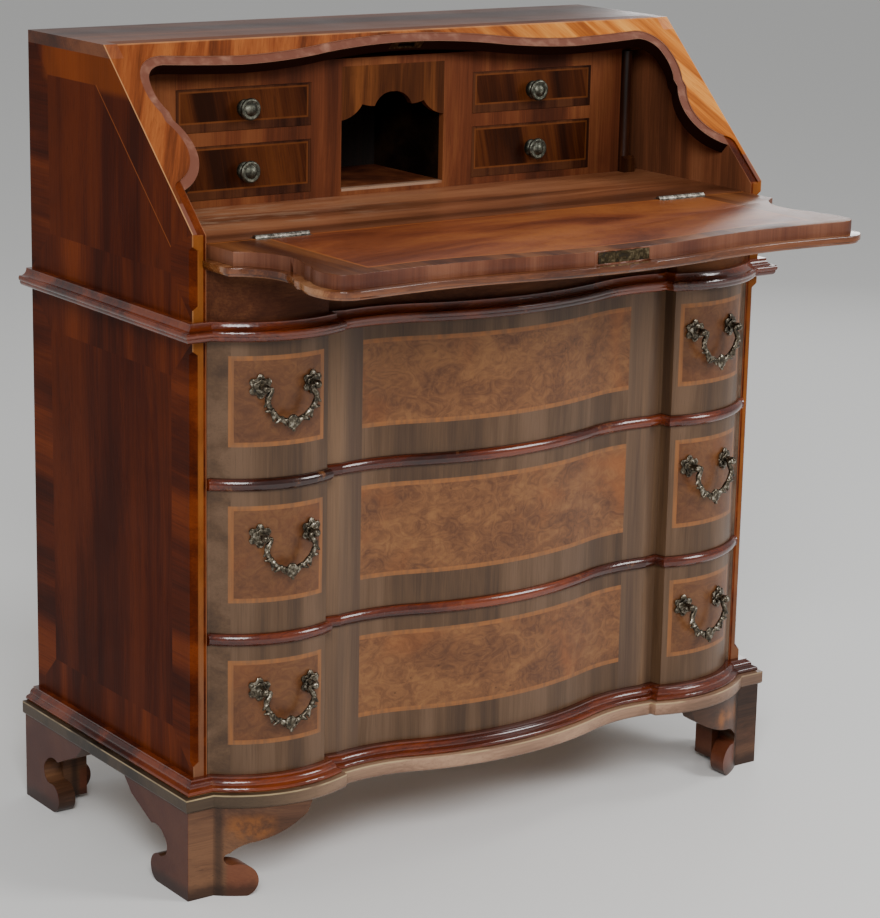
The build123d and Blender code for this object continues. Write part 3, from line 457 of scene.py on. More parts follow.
def slantedEdge(tree, axes, look):
    # the strip of gold veneer on an end of the slanted plane, with its mask
    gold, _ = goldVeneer(tree, axes, slantLook)
    outwards = minus(tree, calc(tree, "ABSOLUTE", axes[0]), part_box("case_side_right")[0].x)
    # the outer arris, pale from wear and a painted highlight
    corner = step(tree, outwards, look["thickness"] - 0.0014, look["thickness"] - 0.0004)
    strip = mixed(tree, step(tree, axes[2], stileFoot + 0.001, stileFoot), gold, slantLook["rebate"])
    strip = tinted(tree, strip, look["corner"], corner, 0.6)
    onEdge = both(tree, step(tree, slantDepth(tree, axes, look), 0.0012, 0.0006),
                  step(tree, axes[2], look["slantFoot"] - 0.002, look["slantFoot"]))
    return strip, onEdge, outwards, corner


def makeSideVeneer(look):
    material, tree, place, axes = newMaterial("sideVeneer")
    y, z = axes[1], axes[2]
    # distances in from the field's edges
    fromBack = minus(tree, caseBack, y)
    fromFront = minus(tree, y, caseFront)
    fromTop = minus(tree, caseTop, z)
    fromSlant = slantDepth(tree, axes, look)
    upperEdge = least(tree, fromTop, minus(tree, z, look["upperBottom"]), fromSlant)
    lowerEdge = least(tree, minus(tree, look["lowerTop"], z), minus(tree, z, look["lowerBottom"]))
    isUpper = step(tree, z, look["waist"], look["waist"] + 0.0001)
    level = addNode(tree, "Mix", {0: isUpper, 2: lowerEdge, 3: upperEdge}, data_type="FLOAT").outputs[0]
    sides = least(tree, fromBack, fromFront)
    inside = least(tree, level, sides)
    width, half = look["borderWidth"], look["lineWidth"] / 2
    border = step(tree, inside, width + 0.0005, width - 0.0005)
    # grain runs across each border strip, and up in the field
    nearLevel = step(tree, minus(tree, level, sides), 0.0005, -0.0005)
    upright, fibre = grain(tree, place, look["field"], figure=9, wander=0.12)
    crossUp, _ = grain(tree, mapped(tree, place, scale=(1, 0.8, 1)), look["border"], figure=14, wander=0.06)
    crossOver, _ = grain(tree, place, look["border"], figure=14, wander=0.06, direction="deep")
    colour = mixed(tree, border, upright, mixed(tree, nearLevel, crossOver, crossUp))
    ruddy = both(tree, border, isUpper, step(tree, fromTop, 0.062, 0.05), step(tree, fromBack, 0.03, 0.05))
    colour = tinted(tree, colour, look["topPatch"], ruddy, 0.45)
    line = between(tree, inside, width - half, width + half)
    onSlant = both(tree, line, step(tree, minus(tree, fromSlant, inside), 0.0008, 0.0002), isUpper)
    colour = tinted(tree, colour, look["line"], onSlant, 0.75)
    cloud = noise(tree, place, 4.5, 4, 0.6, 0.5)
    colour = tinted(tree, colour, look["field"][0], step(tree, cloud, 0.45, 0.8), 0.5)
    # the golden front edges, pale at their corners with wear and a painted highlight, and the plain inner
    # face
    strip, onEdge, outwards, corner = slantedEdge(tree, axes, look)
    plain, _ = grain(tree, place, look["inside"], figure=12, wander=0.08)
    colour = mixed(tree, step(tree, outwards, 0.0012, 0.0004), colour, plain)
    colour = mixed(tree, onEdge, colour, strip)
    frontStrip = tinted(tree, look["frontEdge"], look["corner"], corner, 0.4)
    frontStrip = tinted(tree, frontStrip, look["rubbedEdge"], step(tree, z, *look["rubbedHeights"]), 0.7)
    onFront = both(tree, step(tree, fromFront, 0.0016, 0.0008), step(tree, outwards, 0.0035, 0.0045),
                   step(tree, z, look["slantFoot"], look["slantFoot"] - 0.002))
    worn = step(tree, noise(tree, mapped(tree, place, scale=(1, 1, 0.3)), 40, 4), 0.3, 0.6)
    share = calc(tree, "MULTIPLY_ADD", worn, 0.4, 0.45)
    colour = mixed(tree, both(tree, onFront, share), colour, frontStrip)
    return finishWood(material, place, colour, sidePolish, fibre)


dress(makeSideVeneer(sideLook), "case_side_left", "case_side_right")


# the top's figure, for the top board and the slant rail's upper face
topLook = {"colours": ("341608", "562A10", "744020"), "figure": 10, "wander": 0.1}


def topGrain(tree, place, look):
    colour, fibre = grain(tree, place, look["colours"], look["figure"], look["wander"], "across")
    return clouded(tree, place, colour, look["colours"][0]), fibre


# slant frame
def makeFrameVeneer(look):
    material, tree, place, axes = newMaterial("frameVeneer")
    depth = slantDepth(tree, axes, sideLook)
    colour, fibre = goldVeneer(tree, axes, look)
    wear = step(tree, noise(tree, place, 60, 4), 0.45, 0.85)
    mauve = tinted(tree, look["rebate"], look["rebateWearAndHighlight"], wear, 0.3)
    colour = mixed(tree, step(tree, depth, 0.0009, 0.0011), colour, mauve)
    # painted highlights: pale lines along both edges of the rebate
    edgeHighlights = either(tree, between(tree, depth, 0.0006, 0.0014, 0.0002),
                 between(tree, depth, 0.0023, 0.0032, 0.0002))
    colour = tinted(tree, colour, look["rebateWearAndHighlight"], edgeHighlights, 0.8)
    # painted shade: near black on the faces deeper than the rebate
    deep = step(tree, depth, look["rebateDepth"] + 0.0012, look["rebateDepth"] + 0.0016)
    colour = mixed(tree, deep, colour, look["shadeInOpening"])
    # the flat upper face of the rail, and its worn front edge
    over, _ = topGrain(tree, place, topLook)
    colour = mixed(tree, step(tree, axes[2], caseTop - 0.0004, caseTop - 0.0001), colour, over)
    edge = step(tree, axes[2], caseTop - 0.002, caseTop - 0.0008)
    scuffs = step(tree, noise(tree, place, 30, 4), 0.35, 0.6)
    share = calc(tree, "MULTIPLY_ADD", scuffs, 0.3, 0.3)
    colour = tinted(tree, colour, look["topEdge"], edge, step(tree, depth, 0.0014, 0.0004), share)
    return finishWood(material, place, colour, sidePolish, fibre)


dress(makeFrameVeneer(slantLook), "slant_stile_left", "slant_stile_right", "slant_rail")


# top board, with the gold veneer on its slanted front edge
def makeTopVeneer(look):
    material, tree, place, axes = newMaterial("topVeneer")
    colour, fibre = topGrain(tree, place, look)
    strip, onEdge, _, _ = slantedEdge(tree, axes, sideLook)
    return finishWood(material, place, mixed(tree, onEdge, colour, strip), softPolish, fibre)


dress(makeTopVeneer(topLook), "top_board")


# plain veneers and woods
plainWoods = {
    # name: colours dark to light, grain direction, figure, wander, finish, nodes
    "galleryVeneer": (("3F2014", "5E311D", "764528"), "upright", 12, 0.06, sidePolish, [
        "gallery_stiles", "gallery_top"]),
    "beadWood": (("160904", "2E1509", "4A2812"), "upright", 30, 0.04, softPolish, ["gallery_end_beads"]),
    # painted shade: the pigeonholes' shelves and partitions near black
    "shadedShelfWood": (("0C0705", "1A100A", "2A1B10"), "across", 12, 0.06, sidePolish, [
        "gallery_shelves", "gallery_partitions"]),
    "apronVeneer": (("2A150A", "482613", "70401F"), "upright", 14, 0.04, sidePolish, ["gallery_apron"]),
    "friezeVeneer": (("2A1510", "482819", "643E26"), "across", 8, 0.08, sidePolish, ["frieze_rail"]),
    "carcassWood": (("7A5A3A", "A07E56", "B99A70"), "across", 9, 0.08, bareWood, [
        "bottom_board", "drawer_runners", "dust_boards",
        "top_drawer_box", "middle_drawer_box", "bottom_drawer_box"]),
}


def makePlainWood(name, colours, direction, figure, wander, finish):
    material, tree, place, _ = newMaterial(name)
    colour, fibre = grain(tree, place, colours, figure, wander, direction)
    return finishWood(material, place, clouded(tree, place, colour, colours[0]), finish, fibre)


for woodName, (colours, direction, figure, wander, finish, members) in plainWoods.items():
    dress(makePlainWood(woodName, colours, direction, figure, wander, finish), *members)


# gallery rails, with the pigeonhole's sill worn pale along its front
sillLook = {
    "colours": plainWoods["galleryVeneer"][0],
    "worn": "9A7E68",
    "wornWidth": 0.012,
    "reach": 0.0785,
    "top": 0.8,
}


def makeRailVeneer(look):
    material, tree, place, axes = newMaterial("railVeneer")
    colour, fibre = grain(tree, place, look["colours"], figure=12, wander=0.06)
    x, top = calc(tree, "ABSOLUTE", axes[0]), look["top"]
    depth = minus(tree, axes[1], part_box("gallery_rails")[0].y)
    inHole = both(tree, step(tree, x, look["reach"], look["reach"] - 0.0005),
                  between(tree, axes[2], top - 0.0035, top + 0.001),
                  step(tree, depth, look["wornWidth"], look["wornWidth"] - 0.004))
    rubbed = step(tree, noise(tree, mapped(tree, place, scale=(0.3, 1, 1)), 60, 4), 0.25, 0.5)
    colour = tinted(tree, colour, look["worn"], inHole, rubbed, 0.75)
    return finishWood(material, place, colour, sidePolish, fibre)


dress(makeRailVeneer(sillLook), "gallery_rails")


# writing board, with a dark streak along its front and a rubbed place at the back left
writingLook = {
    "colours": ("54301E", "7E4B30", "A06A48"),
    "streak": "3E1C0C",
    "streakPlace": (0.03, 0.055),
    "rubbed": "A88A70",
}


def makeWritingVeneer(look):
    material, tree, place, axes = newMaterial("writingVeneer")
    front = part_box("writing_board")[0].y
    colour, fibre = grain(tree, place, look["colours"], figure=12, wander=0.1, direction="across")
    wander = calc(tree, "MULTIPLY", noise(tree, mapped(tree, place, scale=(0.25, 1, 1)), 12, 3), 0.03)
    depth = calc(tree, "ADD", minus(tree, axes[1], front), wander)
    colour = tinted(tree, colour, look["streak"], between(tree, depth, *look["streakPlace"], 0.008), 0.55)
    scuffs = step(tree, noise(tree, mapped(tree, place, scale=(0.2, 1, 1)), 70, 4, 0.7), 0.48, 0.62)
    atBack = both(tree, step(tree, axes[1], front + 0.05, front + 0.1), step(tree, axes[0], 0.05, -0.3))
    colour = tinted(tree, colour, look["rubbed"], scuffs, atBack, 0.5)
    return finishWood(material, place, colour, softPolish, fibre)


dress(makeWritingVeneer(writingLook), "writing_board")


# plinth band, darker to the left and lighter to the right with a painted glare, with pale dirt along the
# moulding above it
bandLook = {
    "dark": ("1C140D", "31261B", "463728"),
    # the lighter, greyer copy carries a painted glare
    "light": ("523E31", "80624F", "A48268"),
    "seam": "B09A72",
}


def makeBandWood(look):
    material, tree, place, axes = newMaterial("bandWood")
    dark, fibre = grain(tree, place, look["dark"], figure=10, wander=0.06, direction="across")
    light, _ = grain(tree, place, look["light"], figure=10, wander=0.06, direction="across")
    # painted glare: the lighter copy from the left end towards the middle and right
    colour = mixed(tree, step(tree, axes[0], -0.4, -0.12), dark, light)
    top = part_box("plinth_band")[1].z
    seam = between(tree, axes[2], top - 0.0022, top - 0.0004)
    dirt = step(tree, noise(tree, place, 18, 3), 0.3, 0.5)
    colour = tinted(tree, colour, look["seam"], seam, dirt, 0.75)
    return finishWood(material, place, colour, softPolish, fibre)


dress(makeBandWood(bandLook), "plinth_band")


# feet, worn pale down their front corners and dark at the floor
footLook = {
    "colours": ("26170E", "4A2F20", "6C4A32"),
    "sides": "46160A",
    "worn": "B8966A",
    # patches, with their places in from the outer side and above the floor
    # painted shade in the crease where the face bends
    "creaseShade": "241A14",
    "creaseShadePlace": (0.036, 0.044),
    "amber": "8A5222",
    "amberPlace": (0.05, 0.1),
    "amberHeight": (0.075, 0.1),
    "heel": "6E3520",
    "heelPlace": 0.045,
    "heelHeight": 0.05,
    "darkNearFloor": "1E1009",
    "darkNearFloorHeight": 0.016,
}


def makeFootWood(look):
    material, tree, place, axes = newMaterial("footWood")
    colour, fibre = grain(tree, place, look["colours"], figure=9, wander=0.14, direction="across")
    low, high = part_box("foot_front_right")
    patch = noise(tree, place, 55, 4, 0.6)
    inwards = minus(tree, high.x, calc(tree, "ABSOLUTE", axes[0]))
    amber = both(tree, between(tree, inwards, *look["amberPlace"], 0.01),
                 between(tree, axes[2], *look["amberHeight"], 0.01), step(tree, patch, 0.3, 0.7))
    colour = tinted(tree, colour, look["amber"], amber, 0.8)
    heel = both(tree, step(tree, inwards, look["heelPlace"], look["heelPlace"] + 0.005),
                step(tree, axes[2], look["heelHeight"], look["heelHeight"] - 0.01))
    colour = tinted(tree, colour, look["heel"], heel, 0.5)
    # painted shade where the face bends, and dark on the sides
    colour = tinted(tree, colour, look["creaseShade"], between(tree, inwards, *look["creaseShadePlace"], 0.003), 0.65)
    colour = tinted(tree, colour, look["sides"], step(tree, inwards, 0.0008, 0.0002), 0.75)
    arris = both(tree, step(tree, inwards, 0.0035, 0.001), step(tree, axes[1], low.y + 0.0035, low.y + 0.001))
    colour = tinted(tree, colour, look["worn"], arris, step(tree, patch, 0.3, 0.55), 0.75)
    height = calc(tree, "MULTIPLY_ADD", patch, -0.014, axes[2])
    # darker near the floor, up to a ragged edge
    colour = tinted(tree, colour, look["darkNearFloor"], step(tree, height, look["darkNearFloorHeight"], 0), 0.7)
    return finishWood(material, place, colour, softPolish, fibre)


dress(makeFootWood(footLook), "foot_front_left", "foot_front_right", "foot_rear_left", "foot_rear_right")


# back boards, with a near-black painted shade where the gallery shows them
backLook = {
    "outside": ("7A5A3A", "A07E56", "B99A70"),
    "inside": ("0C0705", "1A100A", "2A1B10"),
    "shadedFrom": 0.77,
}


def makeBackWood(look):
    material, tree, place, axes = newMaterial("backBoardWood")
    low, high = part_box("back_boards")
    middle = (low.y + high.y) / 2
    raw, fibre = grain(tree, place, look["outside"], figure=9, wander=0.08)
    shadedInside, _ = grain(tree, place, look["inside"], figure=9, wander=0.08)
    # painted shade on the inner face, above the gallery's floor
    inside = both(tree, step(tree, axes[1], middle + 0.0002, middle),
                  step(tree, axes[2], look["shadedFrom"] - 0.001, look["shadedFrom"]))
    return finishWood(material, place, mixed(tree, inside, raw, shadedInside), bareWood, fibre)


dress(makeBackWood(backLook), "back_boards")


# mouldings
mouldingLook = {
    "colours": ("220A05", "48190B", "743010"),
    "worn": "A0683E",
    "seam": "A68A62",
}


def makeMouldingGloss(look):
    material, tree, place, axes = newMaterial("mouldingGloss")
    colour, _ = grain(tree, place, look["colours"], figure=12, wander=0.05, direction="across")
    wear = step(tree, noise(tree, place, 26, 5, 0.65), 0.58, 0.72)
    colour = tinted(tree, colour, look["worn"], wear, 0.35)
    # pale dirt in the seam under the base moulding
    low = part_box("base_moulding")[0].z
    seam = between(tree, axes[2], low - 0.001, low + 0.0016)
    dirt = step(tree, noise(tree, place, 18, 3), 0.3, 0.6)
    colour = tinted(tree, colour, look["seam"], seam, dirt, 0.7)
    return finishWood(material, place, colour, highPolish)


dress(makeMouldingGloss(mouldingLook), "waist_moulding", "base_moulding",
      "upper_drawer_rail", "lower_drawer_rail", "base_rail")


# long drawers
drawerLook = {
    "burr": {"dark": "4F311F", "middle": "6A4429", "light": "805734", "eye": "2A170D"},
    "warmPatch": "8A4E24",
    "lobeShade": "4A2A18",
    "crossband": ("3F2D20", "513B29", "614936"),
    "facet": ("48362A", "5A4433", "6C523C"),
    "line": "8F5A30",
    "lineWidth": 0.0055,
    "topInset": 0.022,
    "bottomInset": 0.041,
    "panelInner": 0.275,
    "panelOuter": 0.388,
    "centreEnd": 0.205,
    "facetEnd": 0.262,
    # lower and upper edge of each front
    "heights": {"top": (0.515, 0.681), "middle": (0.325, 0.501), "bottom": (0.148, 0.311)},
}


def makeDrawerVeneer(name, look, low, high):
    material, tree, place, axes = newMaterial(name)
    x, z = calc(tree, "ABSOLUTE", axes[0]), axes[2]
    bottom, top = low + look["bottomInset"], high - look["topInset"]
    inner, outer, centreEnd = look["panelInner"], look["panelOuter"], look["centreEnd"]
    half = look["lineWidth"] / 2
    # the burr panels and the lines round them
    level = between(tree, z, bottom, top)
    lobe = between(tree, x, inner, outer)
    centre = step(tree, x, centreEnd + 0.0005, centreEnd - 0.0005)
    panels = both(tree, level, either(tree, lobe, centre))
    lobeSpan = between(tree, x, inner - half, outer + half)
    rows, posts = [
        either(tree, *(between(tree, axis, edge - half, edge + half) for edge in edges))
        for axis, edges in ((z, (bottom, top)), (x, (inner, outer)))]
    lines = either(tree, both(tree, rows, either(tree, lobeSpan, centre)), both(tree, posts, level))
    figured = burr(tree, mapped(tree, place, scale=(1, 1, 1.4), move=(0, 0, -low * 3)), look["burr"])
    patch = step(tree, noise(tree, mapped(tree, place, move=(low, 0, 0)), 7.5, 3, 0.5, 0.8), 0.5, 0.72)
    figured = tinted(tree, figured, look["warmPatch"], patch, 0.5)
    figured = tinted(tree, figured, look["lobeShade"], lobe, 0.45)
    # the crossband, lying at the ends, and the warmer facets between the panels
    upright, fibre = grain(tree, place, look["crossband"], figure=22, wander=0.04)
    sideways, _ = grain(tree, place, look["crossband"], figure=22, wander=0.04, direction="across")
    band = mixed(tree, step(tree, x, outer, outer + 0.0004), upright, sideways)
    warm, _ = grain(tree, mapped(tree, place, scale=(1, 1, 0.7)), look["facet"], figure=16, wander=0.04)
    colour = mixed(tree, between(tree, x, centreEnd, look["facetEnd"]), band, warm)
    colour = mixed(tree, panels, colour, figured)
    streak = noise(tree, mapped(tree, place, scale=(1, 1, 0.1)), 160, 3)
    lineColour = tinted(tree, look["line"], look["facet"][1], step(tree, streak, 0.35, 0.7), 0.55)
    colour = tinted(tree, colour, lineColour, lines, 0.75)
    return finishWood(material, place, colour, softPolish, fibre)


for level, (low, high) in drawerLook["heights"].items():
    dress(makeDrawerVeneer(level + "DrawerVeneer", drawerLook, low, high), level + "_drawer_front")


# fall
fallLook = {
    "field": ("542412", "7A3E20", "98582A"),
    "border": ("401D0C", "603418", "7C4A26"),
    "line": "A05A26",
    "edge": ("472318", "5E3524", "764A34"),
    "lip": ("43200F", "744223", "A0704A"),
    "outside": {"dark": "4B2D17", "middle": "633E20", "light": "785029", "eye": "2E190C"},
    "borderDepth": 0.026,
    "lineWidth": 0.0028,
    "backLine": (0.004, 0.0065),
    "level": 0.791,
    "underside": 0.7644,
    # reach of the front edge from the hinge axis, across as shares of the inner half width
    "reach": [(0, 0.2609), (0.194, 0.257), (0.364, 0.247), (0.485, 0.2415),
              (0.619, 0.2389), (0.757, 0.2415), (0.879, 0.243), (1.0, 0.233)],
    "curveScale": 3,      # the curve holds the reaches this much larger
    "halfInner": 0.412,
    "endReach": 0.352,
    "hingeY": 0.0123,
}


def frontLine(tree, x, look):
    # the front edge's reach at each place across, as a curve
    node = addNode(tree, "FloatCurve", {"Value": calc(tree, "DIVIDE", x, look["halfInner"], clamp=True)})
    curve = node.mapping.curves[0]
    points = [(across, reach * look["curveScale"]) for across, reach in look["reach"]]
    while len(curve.points) < len(points):
        curve.points.new(0.5, 0.5)
    for point, place in zip(curve.points, points):
        point.location = place
    node.mapping.update()
    return calc(tree, "DIVIDE", node.outputs[0], look["curveScale"])


def makeFallVeneer(look):
    material, tree, place, axes = newMaterial("fallVeneer")
    x = calc(tree, "ABSOLUTE", axes[0])
    forward = minus(tree, caseFront + look["hingeY"], axes[1])
    inside = least(tree, minus(tree, frontLine(tree, x, look), forward), minus(tree, look["endReach"], x))
    depth, half = look["borderDepth"], look["lineWidth"] / 2
    border = step(tree, inside, depth + 0.0004, depth - 0.0004)
    line = either(tree, between(tree, inside, depth - half, depth + half),
                  between(tree, forward, *look["backLine"]))
    field, fibre = grain(tree, mapped(tree, place, turn=(0, 72, 0)), look["field"], figure=8, wander=0.2)
    cross, _ = grain(tree, place, look["border"], figure=20, wander=0.05, direction="deep")
    colour = tinted(tree, mixed(tree, border, field, cross), look["line"], line, 0.8)
    edge, _ = grain(tree, mapped(tree, place, scale=(1, 1, 0.5)), look["edge"], figure=10, wander=0.04)
    onTop = step(tree, axes[2], look["level"] - 0.0006, look["level"] - 0.0003)
    return finishWood(material, place, mixed(tree, onTop, edge, colour), softPolish, fibre)


def makeLipWood(look):
    # the lip, and the outer side of the fall under it
    material, tree, place, axes = newMaterial("lipWood")
    colour, fibre = grain(tree, place, look["lip"], figure=16, wander=0.05, direction="across")
    under = step(tree, axes[2], look["underside"] + 0.0003, look["underside"])
    colour = mixed(tree, under, colour, burr(tree, place, look["outside"]))
    return finishWood(material, place, colour, highPolish, fibre)


dress(makeFallVeneer(fallLook), "fall_board")
dress(makeLipWood(fallLook), "fall_lip")


# small drawers
smallDrawerLook = {
    "veneer": ("240F06", "3A1A0A", "522A12"),
    "line": "8A4C1E",
    "band": ("22100A", "3A1E12", "4E2C1A"),
    "lineWidth": 0.0022,
    "endInset": 0.006,
    "topInset": 0.005,
    "bottomInset": 0.013,
    "inner": 0.1253,
    "outer": 0.3196,
    "heights": {"lower": (0.8, 0.867), "upper": (0.884, 0.938)},
}


def makeSmallVeneer(name, look, low, high):
    material, tree, place, axes = newMaterial(name)
    x, z = calc(tree, "ABSOLUTE", axes[0]), axes[2]
    # distance in from the border
    inner, outer = look["inner"] + look["endInset"], look["outer"] - look["endInset"]
    bottom, top = low + look["bottomInset"], high - look["topInset"]
    across = least(tree, minus(tree, x, inner), minus(tree, outer, x))
    inside = least(tree, across, minus(tree, z, bottom), minus(tree, top, z))
    field, fibre = grain(tree, mapped(tree, place, turn=(0, 12, 0)), look["veneer"], figure=24, wander=0.06)
    band, _ = grain(tree, place, look["band"], figure=26, wander=0.04)
    colour = mixed(tree, step(tree, inside, 0.0003, -0.0003), field, band)
    colour = tinted(tree, colour, look["line"], between(tree, inside, -look["lineWidth"], 0), 0.3)
    return finishWood(material, place, colour, sidePolish, fibre)


for level, (low, high) in smallDrawerLook["heights"].items():
    veneer = makeSmallVeneer(level + "SmallVeneer", smallDrawerLook, low, high)
    dress(veneer, f"small_drawer_{level}_left", f"small_drawer_{level}_right")
print("woods ready")


# metals
metalLooks = {
    "pewterBail": {"dark": "1E1A14", "middle": "5C5447", "light": "BDB5A4", "rough": 0.34, "relief": 0.6},
    "pewterKnob": {"dark": "26261F", "middle": "54544A", "light": "8A897C", "rough": 0.46, "relief": 0.15},
    "lockPlate": {"dark": "1E1811", "middle": "483D2B", "light": "7E7056", "rough": 0.42, "relief": 0.4},
    "wornSteel": {"dark": "2C2722", "middle": "7C766C", "light": "BBB4A8", "rough": 0.38, "relief": 0.4},
}


def makeMetal(name, look):
    material, tree, place, _ = newMaterial(name)
    shader = tree.nodes["Principled BSDF"]
    cloud = noise(tree, place, 190, 5, 0.65)
    colour = ramped(tree, cloud, [(0.35, look["dark"]), (0.52, look["middle"]), (0.72, look["light"])])
    rough = calc(tree, "MULTIPLY_ADD", noise(tree, place, 320, 3), 0.3, look["rough"] - 0.12)
    bump = addNode(tree, "Bump", {"Height": cloud, "Strength": look["relief"], "Distance": 0.0004})
    feed(tree, shader.inputs["Base Color"], colour)
    feed(tree, shader.inputs["Roughness"], rough)
    feed(tree, shader.inputs["Metallic"], step(tree, cloud, 0.25, 0.45))
    feed(tree, shader.inputs["Normal"], bump.outputs[0])
    return material


metals = {name: makeMetal(name, look) for name, look in metalLooks.items()}
for level in ("top", "middle", "bottom"):
    dress(metals["pewterBail"], level + "_drawer_mounts", level + "_bail_left", level + "_bail_right")
for level in ("upper", "lower"):
    dress(metals["pewterKnob"], f"small_knob_{level}_left", f"small_knob_{level}_right")
dress(metals["wornSteel"], "case_hinge_leaves", "fall_hinge_leaves")
dress(metals["lockPlate"], "fall_lock", "lock_bolt", "lock_keeper")
print("metals ready")


# modelling helpers
def clearSelection():
    if bpy.context.mode != "OBJECT":
        bpy.ops.object.mode_set(mode="OBJECT")
    bpy.ops.object.select_all(action="DESELECT")


def pickOnly(piece):
    clearSelection()
    piece.select_set(True)
    bpy.context.view_layer.objects.active = piece


def selectWhere(test, kind="verts"):
    # selects what passes the test on its place, in edit mode
    mesh = bmesh.from_edit_mesh(bpy.context.edit_object.data)
    bpy.ops.mesh.select_all(action="DESELECT")
    for item in getattr(mesh, kind):
        if test(item.co if kind == "verts" else item.calc_center_median()):
            item.select_set(True)
    mesh.select_flush_mode()
    bmesh.update_edit_mesh(bpy.context.edit_object.data)


def finishEdit(smoothAngle):
    # merged, smoothed by one subdivision and shaded
    bpy.ops.mesh.select_all(action="SELECT")
    bpy.ops.mesh.remove_doubles(threshold=0.00001)
    bpy.ops.mesh.normals_make_consistent(inside=False)
    bpy.ops.object.mode_set(mode="OBJECT")
    smoother = bpy.context.object.modifiers.new("smoother", "SUBSURF")
    smoother.levels = smoother.render_levels = 1
    bpy.ops.object.modifier_apply(modifier=smoother.name)
    bpy.ops.object.shade_smooth_by_angle(angle=math.radians(smoothAngle))


def joined(name, pieces):
    clearSelection()
    for piece in pieces:
        piece.select_set(True)
    bpy.context.view_layer.objects.active = pieces[0]
    bpy.ops.object.join()
    pieces[0].name = name
    pieces[0].data.name = name
    return pieces[0]


def placedCopy(pattern, name, place):
    piece = pattern.copy()
    piece.data = pattern.data.copy()
    piece.name = piece.data.name = name
    bpy.context.scene.collection.objects.link(piece)
    piece.data.transform(place)
    return piece


def mergedCopy(node, name):
    # a copy of a CAD node's mesh, merged, without the edges inside its flat faces
    piece = bpy.data.objects.new(name, node.data.copy())
    bpy.context.scene.collection.objects.link(piece)
    pickOnly(piece)
    bpy.ops.object.mode_set(mode="EDIT")
    bpy.ops.mesh.select_all(action="SELECT")
    bpy.ops.mesh.remove_doubles(threshold=0.000002)
    bpy.ops.mesh.dissolve_limited(angle_limit=math.radians(0.4))
    bpy.ops.mesh.select_all(action="DESELECT")
    bpy.ops.object.mode_set(mode="OBJECT")
    return piece


def bodyPiece(piece, body, material):
    piece.data.materials.clear()
    piece.data.materials.append(material)
    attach(piece, body)


# the fall's rounded front edges
roundedFall = {
    # node: slot, radius of its rounded edges
    "fall_board": ("fall_veneer", 0.0028),
    "fall_lip": ("lip_wood", 0.0032),
}
outline = {
    "foldAngle": 0.9,
    "backWidth": 0.16,      # this much at the back stays square, but for the ends
    "endWidth": 0.02,
    "lockHalf": 0.034,      # the lock's plate covers the middle of the edge
}


def isOutline(edge, low, high, look):
    # a long edge of the top or the underside, at the front or the ends of the fall
    first, second = (vert.co for vert in edge.verts)
    if abs(first.z - second.z) > 0.0001 or len(edge.link_faces) != 2:
        return False
    middle = (first + second) / 2
    folded = edge.calc_face_angle(0) >= look["foldAngle"]
    flush = min(abs(middle.z - low.z), abs(middle.z - high.z)) < 0.0002
    outside = middle.y < high.y - look["backWidth"] or abs(middle.x) > high.x - look["endWidth"]
    return folded and flush and outside and abs(middle.x) > look["lockHalf"]


def roundEdges(name, radius):
    low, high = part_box(name)
    node = nodes[name]
    piece = mergedCopy(node, name + "_rounded")
    bpy.ops.object.mode_set(mode="EDIT")
    bpy.ops.mesh.select_mode(type="EDGE")
    mesh = bmesh.from_edit_mesh(piece.data)
    for edge in mesh.edges:
        edge.select_set(isOutline(edge, low, high, outline))
    bmesh.update_edit_mesh(piece.data)
    bpy.ops.mesh.bevel(offset=radius, segments=3, profile=0.5, clamp_overlap=True)
    bpy.ops.mesh.select_mode(type="VERT")
    bpy.ops.object.mode_set(mode="OBJECT")
    bpy.ops.object.shade_smooth_by_angle(angle=math.radians(32))
    bodyPiece(piece, "fall", node.material_slots[0].material)
    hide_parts(name)


for nodeName, (slotName, radius) in roundedFall.items():
    roundEdges(nodeName, radius)
print("fall ready")


# bail handles
# local frame: X across, Z up, -Y out of the drawer, 0 on the bail's axis between the posts
bailLook = {
    "line": [(0.0326, 0), (0.0292, 0), (0.0251, -0.0006), (0.0276, -0.0062), (0.0311, -0.0108),
             (0.0318, -0.0149), (0.0301, -0.0201), (0.0269, -0.0264), (0.0225, -0.0318),
             (0.0171, -0.0361), (0.0108, -0.0391), (0.0052, -0.0406), (0, -0.041)],
    "thickness": [0.75, 0.75, 0.9, 1.1, 1.3, 1.0, 1.2, 1.0, 1.3, 0.95, 1.2, 1.1, 1.2],
    "radius": 0.0029,
    "bowRadius": 0.0321,
    "bowCentre": -0.0089,
    # leaves along the bow: angle from straight down, size, lean
    "leaves": [(17, 0.0058, 42), (30, 0.0068, -30), (45, 0.0068, 36), (60, 0.0064, -26), (76, 0.006, 30)],
    "shieldWidth": 0.008,
    "shieldHeight": 0.0105,
    "shieldPlace": -0.0425,
    # rings of leaves on a head: radius, depth, lift, petals, turn
    "rings": [(0.0152, 0.0034, 0.0017, 6, 0), (0.010336, 0.003, 0.0046, 4, 1)],
    # the round plate's radius, its middle and half its depth, and the radius left behind the leaves
    "plate": {"radius": 0.0175, "middle": -0.002, "halfDepth": 0.006, "cutTo": 0.0098},
    "reach": 0.017,
    "spacing": 0.066,
    "tilt": 13.73,
}


def makeBow(look):
    # the swelling rod as a curve, made a mesh
    clearSelection()
    bpy.ops.curve.primitive_nurbs_path_add(radius=0.01, location=(0, 0, 0))
    bow = bpy.context.object
    curve = bow.data
    curve.splines.clear()
    places = look["line"] + [(-x, z) for x, z in reversed(look["line"][:-1])]
    widths = look["thickness"] + look["thickness"][-2::-1]
    spline = curve.splines.new("NURBS")
    spline.points.add(len(places) - 1)
    for point, (x, z), width in zip(spline.points, places, widths):
        point.co = (x, 0, z, 1)
        point.radius = width
    spline.order_u = 3
    spline.use_endpoint_u = True
    curve.resolution_u = 5
    curve.bevel_depth = look["radius"]
    curve.bevel_resolution = 3
    curve.use_fill_caps = True
    bpy.ops.object.convert(target="MESH")
    return bpy.context.object


